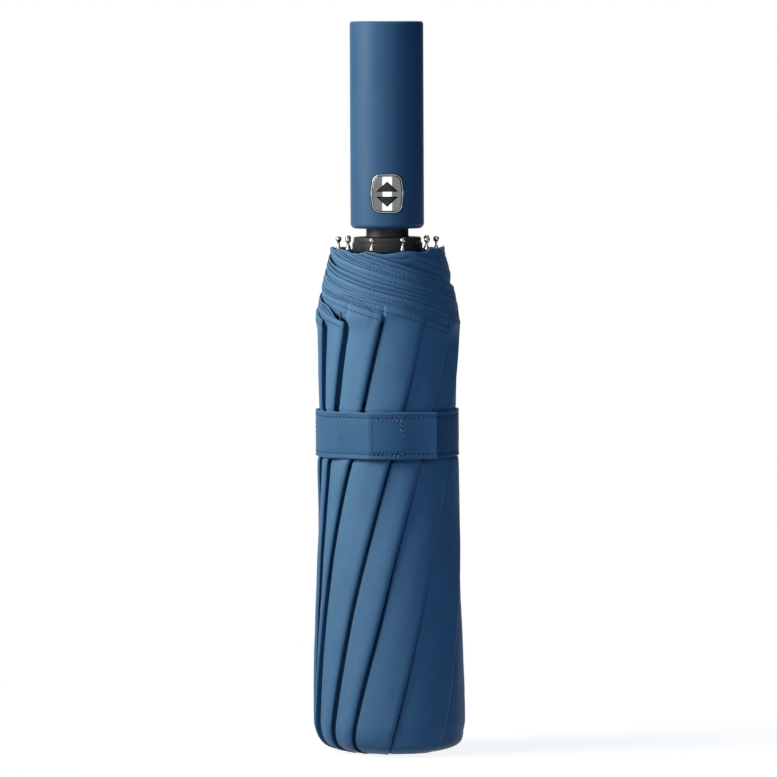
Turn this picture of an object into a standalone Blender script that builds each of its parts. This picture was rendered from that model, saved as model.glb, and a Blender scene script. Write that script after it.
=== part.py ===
"""Compact folding umbrella, furled, strapped and pushed together, standing on its crown.

The frame is +Z up along the shaft, from the crown at the floor to the end of the handle.
The push button faces -Y. Angles around the bundle are counted from the front, and grow
towards +X. Everything is in metres.
"""
import math

import bmesh
import bpy
from mathutils import Matrix

MM = 0.001

# Fits
FIT = 0.3 * MM                      # running gap between neighbouring pieces
LAYER_GAP = 0.25 * MM               # between the layers of the strap's closure
OVERRUN = 1.5 * MM                  # how far a cut runs past the surface that it opens

# Handle
HANDLE_DIAMETER = 30.2 * MM
HANDLE_LENGTH = 84.8 * MM
HANDLE_WALL = 1.6 * MM
HANDLE_END_THICKNESS = 2.0 * MM
HANDLE_MOUTH_ROUNDING = 2.0 * MM
HANDLE_END_ROUNDING = 1.2 * MM
CORE_RECESS = 0.6 * MM              # the core sits this far inside the handle's mouth
CORE_END_WEB = 3.5 * MM
CORE_TOP_SPACE = 10.0 * MM          # empty room between the core and the handle's end

# Push button and its rim
BUTTON_WIDTH = 11.6 * MM
BUTTON_HEIGHT = 13.8 * MM
BUTTON_CORNER = 2.6 * MM
BUTTON_BULGE = 0.5 * MM             # its long sides swell by this much at half height
BUTTON_PROUD = 0.6 * MM
BUTTON_FLANGE_MARGIN = 0.8 * MM
BUTTON_FLANGE_THICKNESS = 1.1 * MM
BUTTON_TRAVEL = 1.5 * MM
BUTTON_ABOVE_MOUTH = 14.5 * MM      # the button's centre above the handle's mouth
BEZEL_RIM = 0.7 * MM
BEZEL_PROUD = 0.25 * MM
BEZEL_DEPTH = 4.0 * MM

# Latch plate behind the button
LATCH_THICKNESS = 2.0 * MM
LATCH_FRONT_BAR = 1.0 * MM
LATCH_SIDE_BAR = 0.8 * MM
LATCH_BACK_BAR = 1.3 * MM
LATCH_TAB_WIDTH = 7.0 * MM
LATCH_FINGER_WIDTH = 5.0 * MM
LATCH_FINGER_THICKNESS = 0.8 * MM
LATCH_FINGER_REACH = 3.0 * MM       # how far the finger comes down beside the runner's neck
LATCH_SPRING_DIAMETER = 3.6 * MM
LATCH_SPRING_WIRE = 0.3 * MM
LATCH_SPRING_TURNS = 2.5

# Shaft
OUTER_TUBE_DIAMETER = 13.0 * MM
TUBE_WALL = 0.45 * MM
TUBE_STAGGER = 8.0 * MM             # each inner tube ends this much lower than the next one
SPRING_WIRE = 0.8 * MM
SPRING_TURNS = 16

# Crown and its cap
CAP_DIAMETER = 21.2 * MM
CAP_THICKNESS = 1.8 * MM
CAP_STEM_DIAMETER = 5.8 * MM
CAP_STEM_LENGTH = 7.4 * MM
CROWN_DIAMETER = 20.4 * MM
CROWN_HEIGHT = 12.0 * MM
CROWN_FLOOR = 3.0 * MM
WIRE_DIAMETER = 0.8 * MM
WIRE_CIRCLE_DIAMETER = 17.8 * MM

# Runner
RUNNER_HUB_HEIGHT = 13.2 * MM
RUNNER_FLANGE_DIAMETER = 28.8 * MM
RUNNER_FLANGE_HEIGHT = 6.3 * MM
RUNNER_FLANGE_STEP = 0.5 * MM
RUNNER_FLANGE_ROUNDING = 0.7 * MM
NECK_DIAMETER = 17.4 * MM
NECK_SHOWN = 3.6 * MM               # the neck that shows between the runner and the handle
NECK_INSIDE = 5.0 * MM
NECK_GROOVE_DEPTH = 0.6 * MM
NECK_GROOVE_HEIGHT = 1.6 * MM

# Ribs
RIB_COUNT = 10
CHANNEL_WIDTH = 3.4 * MM
CHANNEL_DEPTH = 2.2 * MM
CHANNEL_WALL = 0.5 * MM
LINK_SPACE = 0.7 * MM               # radial room between folded links
PIN_DIAMETER = 1.0 * MM
TONGUE_THICKNESS = 1.7 * MM
TONGUE_WALL = 0.5 * MM
TONGUE_ROOT = 6.0 * MM              # length of a tongue's root inside its channel
KNEE_HEIGHT = 186.0 * MM            # the hinge between top rib and middle rib
KNEE_TO_RUNNER_WIRE = 13.0 * MM     # the furled runner's wire above the knees
ELBOW_HEIGHT = 97.0 * MM            # the hinge between stretcher and top rib
FOOT_HEIGHT = 18.0 * MM             # the hinge between middle rib and tip rib
TIP_CIRCLE_DIAMETER = 39.8 * MM
TIP_WIRE_DIAMETER = 2.2 * MM
TIP_BALL_DIAMETER = 2.5 * MM
TIP_BEAD_DIAMETER = 2.1 * MM
TIP_NECK_DIAMETER = 1.3 * MM
TIP_BALL_HEIGHT = 211.0 * MM
TIP_BALL_TO_BEAD = 3.4 * MM
TIP_BEAD_TO_WIRE = 2.6 * MM

# Furled cloth
BUNDLE_HEIGHT = 206.2 * MM
BUNDLE_DIAMETER = 63.2 * MM
CLOTH_FLOOR = 1.2 * MM
CLOTH_REST_WIDTH = 3.2 * MM         # flat ring of cloth around the cap that meets the floor
CLOTH_RIM_WAVE = 1.3 * MM
PLEAT_STEP = 2.2 * MM
PLEAT_EDGE_DEGREES = (-80.0, -57.0, -28.5, 7.7, 34.6, 66.0, 106.0, 151.0, 196.0, 241.0)
PLEAT_TWIST_DEGREES = 108.0         # how far a pleat winds round from the crown to the hems
PLEAT_STEP_DEGREES = 1.8
PLEAT_PHASE_SHARES = (0.0, 0.35, 0.7, 1.0)
PLEAT_DROP_SHARES = (1.0, 0.5, 0.17, 0.0)

# Strap
STRAP_WIDTH = 19.1 * MM
STRAP_THICKNESS = 0.6 * MM
STRAP_CENTRE_SHARE = 0.634
STRAP_MARGIN = 2.0 * MM             # the cloth stays drawn in this far above and below
PATCH_THICKNESS = 0.4 * MM
PATCH_MARGIN = 2.0 * MM
STRAP_START_DEGREES = -32.0
STRAP_RISE_DEGREES = (290.0, 338.0)
TAB_ROOT_DEGREES = -14.0
TAB_END_DEGREES = 39.0
PATCH_DEGREES = (-11.0, 13.0)
STRAP_STEP_DEGREES = 7.0

# Outline of the furled cloth, as shares of the bundle's height and radius
LOWER_OUTLINE_SHARES = (
    (0.013, 0.839, 0.15),
    (0.037, 0.962, 0.45),
    (0.061, 1.000, 0.80),
    (0.13, 0.993, 1.0),
    (0.22, 0.981, 1.0),
    (0.31, 0.967, 1.0),
    (0.40, 0.950, 1.0),
    (0.49, 0.930, 1.0),
    (0.555, 0.912, 1.0),
)
WAIST_SHARE = 0.892
UPPER_OUTLINE_SHARES = (
    (0.735, 0.918, 1.0),
    (0.80, 0.932, 1.0),
    (0.855, 0.942, 1.0),
    (0.905, 0.900, 0.8),
    (0.95, 0.835, 0.6),
)
RIM_SHARES = (0.753, 0.5)
LINING_SHARES = ((0.92, 0.0), (0.80, 1.0), (0.63, 1.0), (0.46, 1.0), (0.29, 1.0), (0.12, 1.0))
LINING_SPACE = 2.9 * MM             # extra room that the lining has around the tip ribs
FLOOR_CORNER_SHARE = 0.033

# Worked out from the sizes above
HANDLE_RADIUS = HANDLE_DIAMETER / 2
HANDLE_BORE_RADIUS = HANDLE_RADIUS - HANDLE_WALL
CORE_RADIUS = HANDLE_BORE_RADIUS - FIT
OUTER_TUBE_RADIUS = OUTER_TUBE_DIAMETER / 2
MIDDLE_TUBE_RADIUS = OUTER_TUBE_RADIUS - TUBE_WALL - FIT
INNER_TUBE_RADIUS = MIDDLE_TUBE_RADIUS - TUBE_WALL - FIT
SHAFT_BORE_RADIUS = OUTER_TUBE_RADIUS + FIT
SPRING_RADIUS = INNER_TUBE_RADIUS - TUBE_WALL - FIT - SPRING_WIRE / 2
WIRE_CIRCLE_RADIUS = WIRE_CIRCLE_DIAMETER / 2
TIP_CIRCLE_RADIUS = TIP_CIRCLE_DIAMETER / 2
BUNDLE_RADIUS = BUNDLE_DIAMETER / 2

CLOTH_UNDERSIDE = CAP_THICKNESS + FIT
CROWN_BOTTOM = CLOTH_UNDERSIDE + CLOTH_FLOOR + FIT
CROWN_TOP = CROWN_BOTTOM + CROWN_HEIGHT
CROWN_WIRE_HEIGHT = (CROWN_BOTTOM + CROWN_TOP) / 2
RUNNER_WIRE_HEIGHT = KNEE_HEIGHT + KNEE_TO_RUNNER_WIRE
HUB_BOTTOM = RUNNER_WIRE_HEIGHT - RUNNER_HUB_HEIGHT / 2
HUB_TOP = RUNNER_WIRE_HEIGHT + RUNNER_HUB_HEIGHT / 2
FLANGE_TOP = HUB_TOP + RUNNER_FLANGE_HEIGHT
HANDLE_MOUTH = FLANGE_TOP + NECK_SHOWN
HANDLE_END = HANDLE_MOUTH + HANDLE_LENGTH
NECK_TOP = HANDLE_MOUTH + NECK_INSIDE
NECK_RADIUS = NECK_DIAMETER / 2
BUTTON_CENTRE = HANDLE_MOUTH + BUTTON_ABOVE_MOUTH
CORE_TOP = HANDLE_END - HANDLE_END_THICKNESS - CORE_TOP_SPACE
OUTER_TUBE_TOP = CORE_TOP - CORE_END_WEB - FIT

LINK_PITCH = CHANNEL_DEPTH + LINK_SPACE
STRETCHER_RADIUS = WIRE_CIRCLE_RADIUS + CHANNEL_DEPTH / 2 + FIT
TOP_RIB_RADIUS = STRETCHER_RADIUS + LINK_PITCH
MIDDLE_RIB_RADIUS = TOP_RIB_RADIUS + LINK_PITCH
TONGUE_REACH = PIN_DIAMETER / 2 + FIT + TONGUE_WALL
WIRE_TONGUE_REACH = WIRE_DIAMETER / 2 + FIT + TONGUE_WALL

BUTTON_FACE = HANDLE_RADIUS + BUTTON_PROUD
LATCH_FRONT = SHAFT_BORE_RADIUS + FIT + BUTTON_TRAVEL + LATCH_FRONT_BAR
BUTTON_BACK = LATCH_FRONT + FIT
LATCH_HOLE = OUTER_TUBE_RADIUS + FIT
FINGER_FACE = NECK_RADIUS + FIT
LATCH_BACK = FINGER_FACE + LATCH_FINGER_THICKNESS
LATCH_BOTTOM = BUTTON_CENTRE - LATCH_THICKNESS / 2
LATCH_TOP = BUTTON_CENTRE + LATCH_THICKNESS / 2
FINGER_BOTTOM = NECK_TOP - LATCH_FINGER_REACH

LINING_RADIUS = TIP_CIRCLE_RADIUS + TIP_BALL_DIAMETER / 2 + FIT
WAIST_RADIUS = BUNDLE_RADIUS * WAIST_SHARE
STRAP_CENTRE = BUNDLE_HEIGHT * STRAP_CENTRE_SHARE
STRAP_RADIUS = WAIST_RADIUS + FIT
LOOP_RADIUS = STRAP_RADIUS + STRAP_THICKNESS + LAYER_GAP
HOOK_RADIUS = LOOP_RADIUS + PATCH_THICKNESS + LAYER_GAP
TAB_RADIUS = HOOK_RADIUS + PATCH_THICKNESS + LAYER_GAP

ROUND_SIDES = 32
TUBE_SIDES = 24
SMALL_SIDES = 8
WIRE_SIDES = 6


def clear_scene():
    for thing in list(bpy.data.objects):
        bpy.data.objects.remove(thing, do_unlink=True)


def make_material(name, colour, roughness, metallic=0.0):
    material = bpy.data.materials.new(name)
    material.use_nodes = True
    shader = material.node_tree.nodes["Principled BSDF"]
    shader.inputs["Base Color"].default_value = (*colour, 1.0)
    shader.inputs["Roughness"].default_value = roughness
    shader.inputs["Metallic"].default_value = metallic
    material.diffuse_color = (*colour, 1.0)
    return material


def to_mesh(bm):
    """Close a bmesh into a mesh whose faces point outwards."""
    bmesh.ops.recalc_face_normals(bm, faces=bm.faces)
    mesh = bpy.data.meshes.new("shape")
    bm.to_mesh(mesh)
    bm.free()
    return mesh


def skin_rings(bm, rings, closed):
    """Join neighbouring rings of vertices; a ring of one vertex is a point on the axis."""
    pairs = list(zip(rings, rings[1:]))
    if closed:
        pairs.append((rings[-1], rings[0]))
    for low, high in pairs:
        for k in range(max(len(low), len(high))):
            corners = [low[k % len(low)], low[(k + 1) % len(low)],
                       high[(k + 1) % len(high)], high[k % len(high)]]
            corners = [v for i, v in enumerate(corners) if v not in corners[:i]]
            if len(corners) > 2:
                bm.faces.new(corners)


def turned(profile, sides=ROUND_SIDES, closed=True, offset=0.0):
    """Turn a profile of (radius, height) points about a vertical axis at x = offset."""
    bm = bmesh.new()
    rings = []
    for radius, height in profile:
        count = sides if radius > 0 else 1
        rings.append([bm.verts.new((offset + radius * math.cos(math.tau * k / sides),
                                    radius * math.sin(math.tau * k / sides), height))
                      for k in range(count)])
    skin_rings(bm, rings, closed)
    return to_mesh(bm)


def block(low, high):
    """A box between two corners."""
    bm = bmesh.new()
    bmesh.ops.create_cube(bm, size=1.0)
    size = [b - a for a, b in zip(low, high)]
    centre = [(a + b) / 2 for a, b in zip(low, high)]
    bmesh.ops.scale(bm, vec=size, verts=bm.verts)
    bmesh.ops.translate(bm, vec=centre, verts=bm.verts)
    return to_mesh(bm)


def rod(radius, length, centre, axis, sides=SMALL_SIDES):
    """A round bar along the X, Y or Z axis, centred on a point."""
    turn = {"X": Matrix.Rotation(math.pi / 2, 4, "Y"),
            "Y": Matrix.Rotation(math.pi / 2, 4, "X"),
            "Z": Matrix.Identity(4)}[axis]
    bm = bmesh.new()
    bmesh.ops.create_cone(bm, cap_ends=True, segments=sides, radius1=radius, radius2=radius,
                          depth=length, matrix=Matrix.Translation(centre) @ turn)
    return to_mesh(bm)


def plate(outline, thickness):
    """A flat plate in the XZ plane, from (x, z) points, centred on y = 0."""
    bm = bmesh.new()
    front = [bm.verts.new((x, -thickness / 2, z)) for x, z in outline]
    face = bm.faces.new(front)
    grown = bmesh.ops.extrude_face_region(bm, geom=[face])
    verts = [v for v in grown["geom"] if isinstance(v, bmesh.types.BMVert)]
    bmesh.ops.translate(bm, vec=(0, thickness, 0), verts=verts)
    return to_mesh(bm)


def shape(base, add=(), cut=(), keep=()):
    """Join, cut and intersect closed meshes, and return the resulting mesh."""
    steps = [(m, "UNION") for m in add] + [(m, "DIFFERENCE") for m in cut]
    steps += [(m, "INTERSECT") for m in keep]
    body = bpy.data.objects.new("body", base)
    bpy.context.collection.objects.link(body)
    helpers = []
    for mesh, operation in steps:
        helper = bpy.data.objects.new("helper", mesh)
        bpy.context.collection.objects.link(helper)
        helper.hide_render = True
        helper.display_type = "WIRE"
        modifier = body.modifiers.new(operation.lower(), "BOOLEAN")
        modifier.operation = operation
        modifier.solver = "EXACT"
        modifier.object = helper
        helpers.append(helper)
    bpy.context.view_layer.update()
    graph = bpy.context.evaluated_depsgraph_get()
    result = bpy.data.meshes.new_from_object(body.evaluated_get(graph))
    for thing in [body] + helpers:
        bpy.data.objects.remove(thing, do_unlink=True)
    return result


def place(name, mesh, material, parent=None, turn=0.0):
    """Put a mesh in the scene as a named piece, turned about the shaft."""
    thing = bpy.data.objects.new(name, mesh)
    bpy.context.collection.objects.link(thing)
    if not mesh.materials:
        mesh.materials.append(material)
    mesh.name = name
    mesh.shade_smooth()
    mesh.set_sharp_from_angle(angle=math.radians(35))
    thing.rotation_euler = (0, 0, turn)
    if parent is not None:
        thing.parent = parent
        thing.matrix_parent_inverse = parent.matrix_world.inverted()
    return thing


def pivot(name, location):
    """An empty on a joint's axis, which carries the pieces that move."""
    empty = bpy.data.objects.new(name, None)
    bpy.context.collection.objects.link(empty)
    empty.location = location
    bpy.context.view_layer.update()
    return empty


def around(angle_degrees, radius, height):
    """A point on the bundle, by its angle from the front."""
    angle = math.radians(angle_degrees)
    return (radius * math.sin(angle), -radius * math.cos(angle), height)


def corner_arc(centre_x, centre_z, radius, start_degrees, steps=3):
    """A quarter round, counter-clockwise."""
    points = []
    for k in range(steps + 1):
        angle = math.radians(start_degrees + 90 * k / steps)
        points.append((centre_x + radius * math.cos(angle), centre_z + radius * math.sin(angle)))
    return points


def barrel_outline(margin=0.0):
    """The button's rounded outline with slightly swelling sides, grown by a margin."""
    half_width = BUTTON_WIDTH / 2 - BUTTON_BULGE + margin
    half_height = BUTTON_HEIGHT / 2 + margin
    radius = BUTTON_CORNER + margin
    swell = (BUTTON_WIDTH / 2 + margin, 0.0)
    right_up = corner_arc(half_width - radius, half_height - radius, radius, 0)
    left_up = corner_arc(radius - half_width, half_height - radius, radius, 90)
    left_down = corner_arc(radius - half_width, radius - half_height, radius, 180)
    right_down = corner_arc(half_width - radius, radius - half_height, radius, 270)
    return [swell] + right_up + left_up + [(-swell[0], 0.0)] + left_down + right_down


def front_prism(outline, front, back):
    """A prism along Y, centred on the button, between two depths behind the front."""
    mesh = plate(outline, front - back)
    mesh.transform(Matrix.Translation((0, -(front + back) / 2, BUTTON_CENTRE)))
    return mesh


def drum(radius):
    """A cylinder about the shaft that reaches above and below the button."""
    return rod(radius, 2 * BUTTON_HEIGHT, (0, 0, BUTTON_CENTRE), "Z", ROUND_SIDES)


def make_handle_shell(material, parent):
    mouth = HANDLE_MOUTH_ROUNDING
    end = HANDLE_END_ROUNDING
    outer = corner_arc(HANDLE_RADIUS - mouth, HANDLE_MOUTH + mouth, mouth, 270, 4)
    outer += corner_arc(HANDLE_RADIUS - end, HANDLE_END - end, end, 0)
    ceiling = HANDLE_END - HANDLE_END_THICKNESS
    profile = outer + [(0.0, HANDLE_END), (0.0, ceiling), (HANDLE_BORE_RADIUS, ceiling),
                       (HANDLE_BORE_RADIUS, HANDLE_MOUTH)]
    base = turned(profile)
    window = front_prism(barrel_outline(2 * FIT + BEZEL_RIM), HANDLE_DIAMETER, CORE_RADIUS / 2)
    return place("handle_shell", shape(base, cut=[window]), material, parent)


def make_handle_core(material, parent):
    bottom = HANDLE_MOUTH + CORE_RECESS
    ceiling = OUTER_TUBE_TOP + FIT
    socket_radius = NECK_RADIUS + FIT
    socket_top = NECK_TOP + FIT
    base = turned([(CORE_RADIUS, bottom), (CORE_RADIUS, CORE_TOP), (0.0, CORE_TOP), (0.0, ceiling),
                   (SHAFT_BORE_RADIUS, ceiling), (SHAFT_BORE_RADIUS, socket_top),
                   (socket_radius, socket_top), (socket_radius, bottom)])
    half_flange = BUTTON_WIDTH / 2 + BUTTON_FLANGE_MARGIN + FIT
    flange_rise = BUTTON_HEIGHT / 2 + BUTTON_FLANGE_MARGIN + FIT
    pocket = block((-half_flange, -HANDLE_RADIUS, BUTTON_CENTRE - flange_rise),
                   (half_flange, BUTTON_TRAVEL + FIT - BUTTON_BACK, BUTTON_CENTRE + flange_rise))
    side = LATCH_HOLE + LATCH_SIDE_BAR + FIT
    chamber = block((-side, -BUTTON_BACK - FIT, LATCH_BOTTOM - FIT),
                    (side, LATCH_HOLE + LATCH_BACK_BAR + BUTTON_TRAVEL + FIT, LATCH_TOP + FIT))
    run = LATCH_BACK + BUTTON_TRAVEL + FIT
    tab = block((-LATCH_TAB_WIDTH / 2 - FIT, 0.0, LATCH_BOTTOM - FIT),
                (LATCH_TAB_WIDTH / 2 + FIT, run, LATCH_TOP + FIT))
    finger = block((-LATCH_FINGER_WIDTH / 2 - FIT, FINGER_FACE - FIT - FIT, FINGER_BOTTOM - FIT),
                   (LATCH_FINGER_WIDTH / 2 + FIT, run, LATCH_TOP))
    spring_room = rod(LATCH_SPRING_DIAMETER / 2 + FIT, HANDLE_RADIUS - NECK_RADIUS,
                      (0, (HANDLE_RADIUS + NECK_RADIUS) / 2, BUTTON_CENTRE), "Y", 12)
    mesh = shape(base, cut=[pocket, chamber, tab, finger, spring_room])
    return place("handle_core", mesh, material, parent)


def make_bezel(material, parent):
    back = HANDLE_RADIUS - BEZEL_DEPTH
    base = front_prism(barrel_outline(FIT + BEZEL_RIM), HANDLE_DIAMETER, back)
    hole = front_prism(barrel_outline(FIT), HANDLE_DIAMETER + OVERRUN, back - OVERRUN)
    mesh = shape(base, cut=[hole], keep=[drum(HANDLE_RADIUS + BEZEL_PROUD)])
    return place("button_bezel", mesh, material, parent)


def make_button(material, parent):
    base = front_prism(barrel_outline(), HANDLE_DIAMETER, BUTTON_BACK + BUTTON_FLANGE_THICKNESS / 2)
    crowned = shape(base, keep=[drum(BUTTON_FACE)])
    half = BUTTON_WIDTH / 2 + BUTTON_FLANGE_MARGIN
    rise = BUTTON_HEIGHT / 2 + BUTTON_FLANGE_MARGIN
    flange = block((-half, -BUTTON_BACK - BUTTON_FLANGE_THICKNESS, BUTTON_CENTRE - rise),
                   (half, -BUTTON_BACK, BUTTON_CENTRE + rise))
    return place("push_button", shape(crowned, add=[flange]), material, parent)


def make_latch(material, parent):
    side = LATCH_HOLE + LATCH_SIDE_BAR
    base = block((-side, -LATCH_FRONT, LATCH_BOTTOM),
                 (side, LATCH_HOLE + LATCH_BACK_BAR, LATCH_TOP))
    tab = block((-LATCH_TAB_WIDTH / 2, LATCH_HOLE, LATCH_BOTTOM),
                (LATCH_TAB_WIDTH / 2, LATCH_BACK, LATCH_TOP))
    finger = block((-LATCH_FINGER_WIDTH / 2, FINGER_FACE, FINGER_BOTTOM),
                   (LATCH_FINGER_WIDTH / 2, LATCH_BACK, BUTTON_CENTRE))
    hole = block((-LATCH_HOLE, LATCH_FRONT_BAR - LATCH_FRONT, LATCH_BOTTOM - OVERRUN),
                 (LATCH_HOLE, LATCH_HOLE, LATCH_TOP + OVERRUN))
    return place("latch_slider", shape(base, add=[tab, finger], cut=[hole]), material, parent)


def coil(name, material, parent, radius, wire, turns, start, end, axis="Z", points_per_turn=8):
    """A round wire wound between two heights, or between two depths along Y."""
    curve = bpy.data.curves.new(name, "CURVE")
    curve.dimensions = "3D"
    curve.bevel_depth = wire / 2
    curve.bevel_resolution = 0
    curve.use_fill_caps = True
    steps = round(turns * points_per_turn)
    spline = curve.splines.new("POLY")
    spline.points.add(steps)
    for k, point in enumerate(spline.points):
        angle = math.tau * turns * k / steps
        along = start + (end - start) * k / steps
        across = (radius * math.cos(angle), radius * math.sin(angle))
        if axis == "Z":
            point.co = (across[0], across[1], along, 1.0)
        else:
            point.co = (across[0], along, BUTTON_CENTRE + across[1], 1.0)
    curve.materials.append(material)
    thing = bpy.data.objects.new(name, curve)
    bpy.context.collection.objects.link(thing)
    if parent is not None:
        thing.parent = parent
        thing.matrix_parent_inverse = parent.matrix_world.inverted()
    return thing


def make_springs(material, handle):
    edge = SPRING_WIRE / 2
    coil("main_spring", material, None, SPRING_RADIUS, SPRING_WIRE, SPRING_TURNS,
         CROWN_BOTTOM + CROWN_FLOOR + FIT + edge, OUTER_TUBE_TOP - edge)
    edge = LATCH_SPRING_WIRE / 2
    middle = (LATCH_SPRING_DIAMETER - LATCH_SPRING_WIRE) / 2
    coil("latch_spring", material, handle, middle, LATCH_SPRING_WIRE, LATCH_SPRING_TURNS,
         LATCH_BACK + BUTTON_TRAVEL + FIT + edge,
         math.sqrt(HANDLE_BORE_RADIUS ** 2 - middle ** 2) - FIT - edge, "Y")


def make_tubes(material, handle, middle):
    top = OUTER_TUBE_TOP
    bottom = CROWN_TOP + FIT
    make_tube("outer_tube", OUTER_TUBE_RADIUS, bottom, top, material, handle)
    make_tube("middle_tube", MIDDLE_TUBE_RADIUS, bottom, top - TUBE_STAGGER, material, middle)
    make_tube("inner_tube", INNER_TUBE_RADIUS, CROWN_BOTTOM + CROWN_FLOOR + FIT,
              top - 2 * TUBE_STAGGER, material, None)


def make_tube(name, radius, bottom, top, material, parent):
    bore = radius - TUBE_WALL
    profile = [(radius, bottom), (radius, top), (bore, top), (bore, bottom)]
    return place(name, turned(profile, TUBE_SIDES), material, parent)


def rib_turn(index):
    """Angle of one rib, so that two of them flank the front."""
    return -math.pi / 2 + math.tau * (index + 0.5) / RIB_COUNT


def notches(low, high):
    """The slots in which the ribs' tongues stand on their wire."""
    half = TONGUE_THICKNESS / 2 + FIT
    cuts = []
    for index in range(RIB_COUNT):
        slot = block((WIRE_CIRCLE_RADIUS - WIRE_TONGUE_REACH - FIT, -half, low),
                     (CROWN_DIAMETER, half, high))
        slot.transform(Matrix.Rotation(rib_turn(index), 4, "Z"))
        cuts.append(slot)
    return cuts


def wire_groove(height):
    """Profile points of the groove that holds a wire, from below to above."""
    half = WIRE_DIAMETER / 2 + FIT
    deep = WIRE_CIRCLE_RADIUS - half
    rim = CROWN_DIAMETER / 2
    return [(rim, height - half), (deep, height - half), (deep, height + half), (rim, height + half)]


def make_crown(material):
    rim = CROWN_DIAMETER / 2
    stem_bore = CAP_STEM_DIAMETER / 2 + FIT
    tube_bore = INNER_TUBE_RADIUS + FIT
    seat = CROWN_BOTTOM + CROWN_FLOOR
    profile = [(rim, CROWN_BOTTOM)] + wire_groove(CROWN_WIRE_HEIGHT)
    profile += [(rim, CROWN_TOP), (tube_bore, CROWN_TOP), (tube_bore, seat),
                (stem_bore, seat), (stem_bore, CROWN_BOTTOM)]
    reach = CROWN_WIRE_HEIGHT - WIRE_TONGUE_REACH - FIT
    mesh = shape(turned(profile, TUBE_SIDES), cut=notches(reach, CROWN_TOP + OVERRUN))
    return place("crown", mesh, material)


def make_crown_cap(material):
    disc = CAP_DIAMETER / 2
    stem = CAP_STEM_DIAMETER / 2
    edge = CAP_THICKNESS / 3
    profile = [(0.0, 0.0), (disc - edge, 0.0), (disc, edge), (disc, CAP_THICKNESS),
               (stem, CAP_THICKNESS), (stem, CAP_THICKNESS + CAP_STEM_LENGTH),
               (0.0, CAP_THICKNESS + CAP_STEM_LENGTH)]
    return place("crown_cap", turned(profile, TUBE_SIDES, closed=False), material)


def make_wire_ring(name, height, material):
    half = WIRE_DIAMETER / 2
    profile = [(WIRE_CIRCLE_RADIUS + half * math.cos(math.tau * k / WIRE_SIDES),
                height + half * math.sin(math.tau * k / WIRE_SIDES)) for k in range(WIRE_SIDES)]
    return place(name, turned(profile, TUBE_SIDES), material)


def make_runner(material):
    rim = CROWN_DIAMETER / 2
    flange = RUNNER_FLANGE_DIAMETER / 2
    soft = RUNNER_FLANGE_ROUNDING
    step = FLANGE_TOP - RUNNER_FLANGE_HEIGHT / 3
    groove_top = NECK_TOP - NECK_GROOVE_HEIGHT
    groove = NECK_RADIUS - NECK_GROOVE_DEPTH
    profile = [(rim, HUB_BOTTOM)] + wire_groove(RUNNER_WIRE_HEIGHT)
    profile += [(rim, HUB_TOP), (flange - soft, HUB_TOP), (flange, HUB_TOP + soft),
                (flange, step), (flange - RUNNER_FLANGE_STEP, step),
                (flange - RUNNER_FLANGE_STEP, FLANGE_TOP - soft),
                (flange - RUNNER_FLANGE_STEP - soft, FLANGE_TOP),
                (NECK_RADIUS, FLANGE_TOP), (NECK_RADIUS, groove_top - NECK_GROOVE_HEIGHT),
                (groove, groove_top - NECK_GROOVE_HEIGHT), (groove, groove_top),
                (NECK_RADIUS, groove_top), (NECK_RADIUS, NECK_TOP),
                (SHAFT_BORE_RADIUS, NECK_TOP), (SHAFT_BORE_RADIUS, HUB_BOTTOM)]
    reach = RUNNER_WIRE_HEIGHT + WIRE_TONGUE_REACH + FIT
    mesh = shape(turned(profile), cut=notches(HUB_BOTTOM - OVERRUN, reach))
    return place("runner", mesh, material)


def channel(radius, low, high, pin_height):
    """A U channel that opens outwards, with ears and a pin across its hinged end."""
    inner = radius - CHANNEL_DEPTH / 2
    outer = radius + CHANNEL_DEPTH / 2
    half = CHANNEL_WIDTH / 2
    base = block((inner, -half, low), (outer, half, high))
    trough = block((inner + CHANNEL_WALL, CHANNEL_WALL - half, low - OVERRUN),
                   (outer + OVERRUN, half - CHANNEL_WALL, high + OVERRUN))
    room = TONGUE_REACH + FIT
    ears = block((inner - OVERRUN, CHANNEL_WALL - half, pin_height - room),
                 (outer + OVERRUN, half - CHANNEL_WALL, pin_height + room))
    pin = rod(PIN_DIAMETER / 2, CHANNEL_WIDTH - CHANNEL_WALL, (radius, 0, pin_height), "Y", WIRE_SIDES)
    return shape(shape(base, cut=[trough, ears]), add=[pin])


def eye(radius, height, bore):
    """The hole in a tongue."""
    return rod(bore / 2 + FIT, CHANNEL_WIDTH, (radius, 0, height), "Y", SMALL_SIDES)


def lug(radius, height, reach, root):
    """A tongue that reaches from a channel's floor, inwards, to its neighbour's pin."""
    outline = [(radius - reach, height - reach), (root, height - reach),
               (root, height + reach), (radius - reach, height + reach)]
    return plate(outline, TONGUE_THICKNESS)


def filled_root(radius, low, high):
    """A block inside a channel that ties a tongue to it."""
    half = CHANNEL_WIDTH / 2 - CHANNEL_WALL / 2
    return block((radius - CHANNEL_DEPTH / 2 + CHANNEL_WALL / 2, -half, low),
                 (radius + CHANNEL_DEPTH / 4, half, high))


def make_stretchers(material):
    top = HUB_BOTTOM - FIT - TONGUE_ROOT / 2
    body = channel(STRETCHER_RADIUS, ELBOW_HEIGHT - TONGUE_REACH, top, ELBOW_HEIGHT)
    near = WIRE_CIRCLE_RADIUS - WIRE_TONGUE_REACH
    far = WIRE_CIRCLE_RADIUS + WIRE_TONGUE_REACH
    outline = [(near, top), (STRETCHER_RADIUS, top - TONGUE_ROOT), (far, top),
               (far, RUNNER_WIRE_HEIGHT + WIRE_TONGUE_REACH),
               (near, RUNNER_WIRE_HEIGHT + WIRE_TONGUE_REACH)]
    mesh = shape(body, add=[filled_root(STRETCHER_RADIUS, top - TONGUE_ROOT, top),
                            plate(outline, TONGUE_THICKNESS)],
                 cut=[eye(WIRE_CIRCLE_RADIUS, RUNNER_WIRE_HEIGHT, WIRE_DIAMETER)])
    place_ribs("stretcher", mesh, material)


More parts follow.
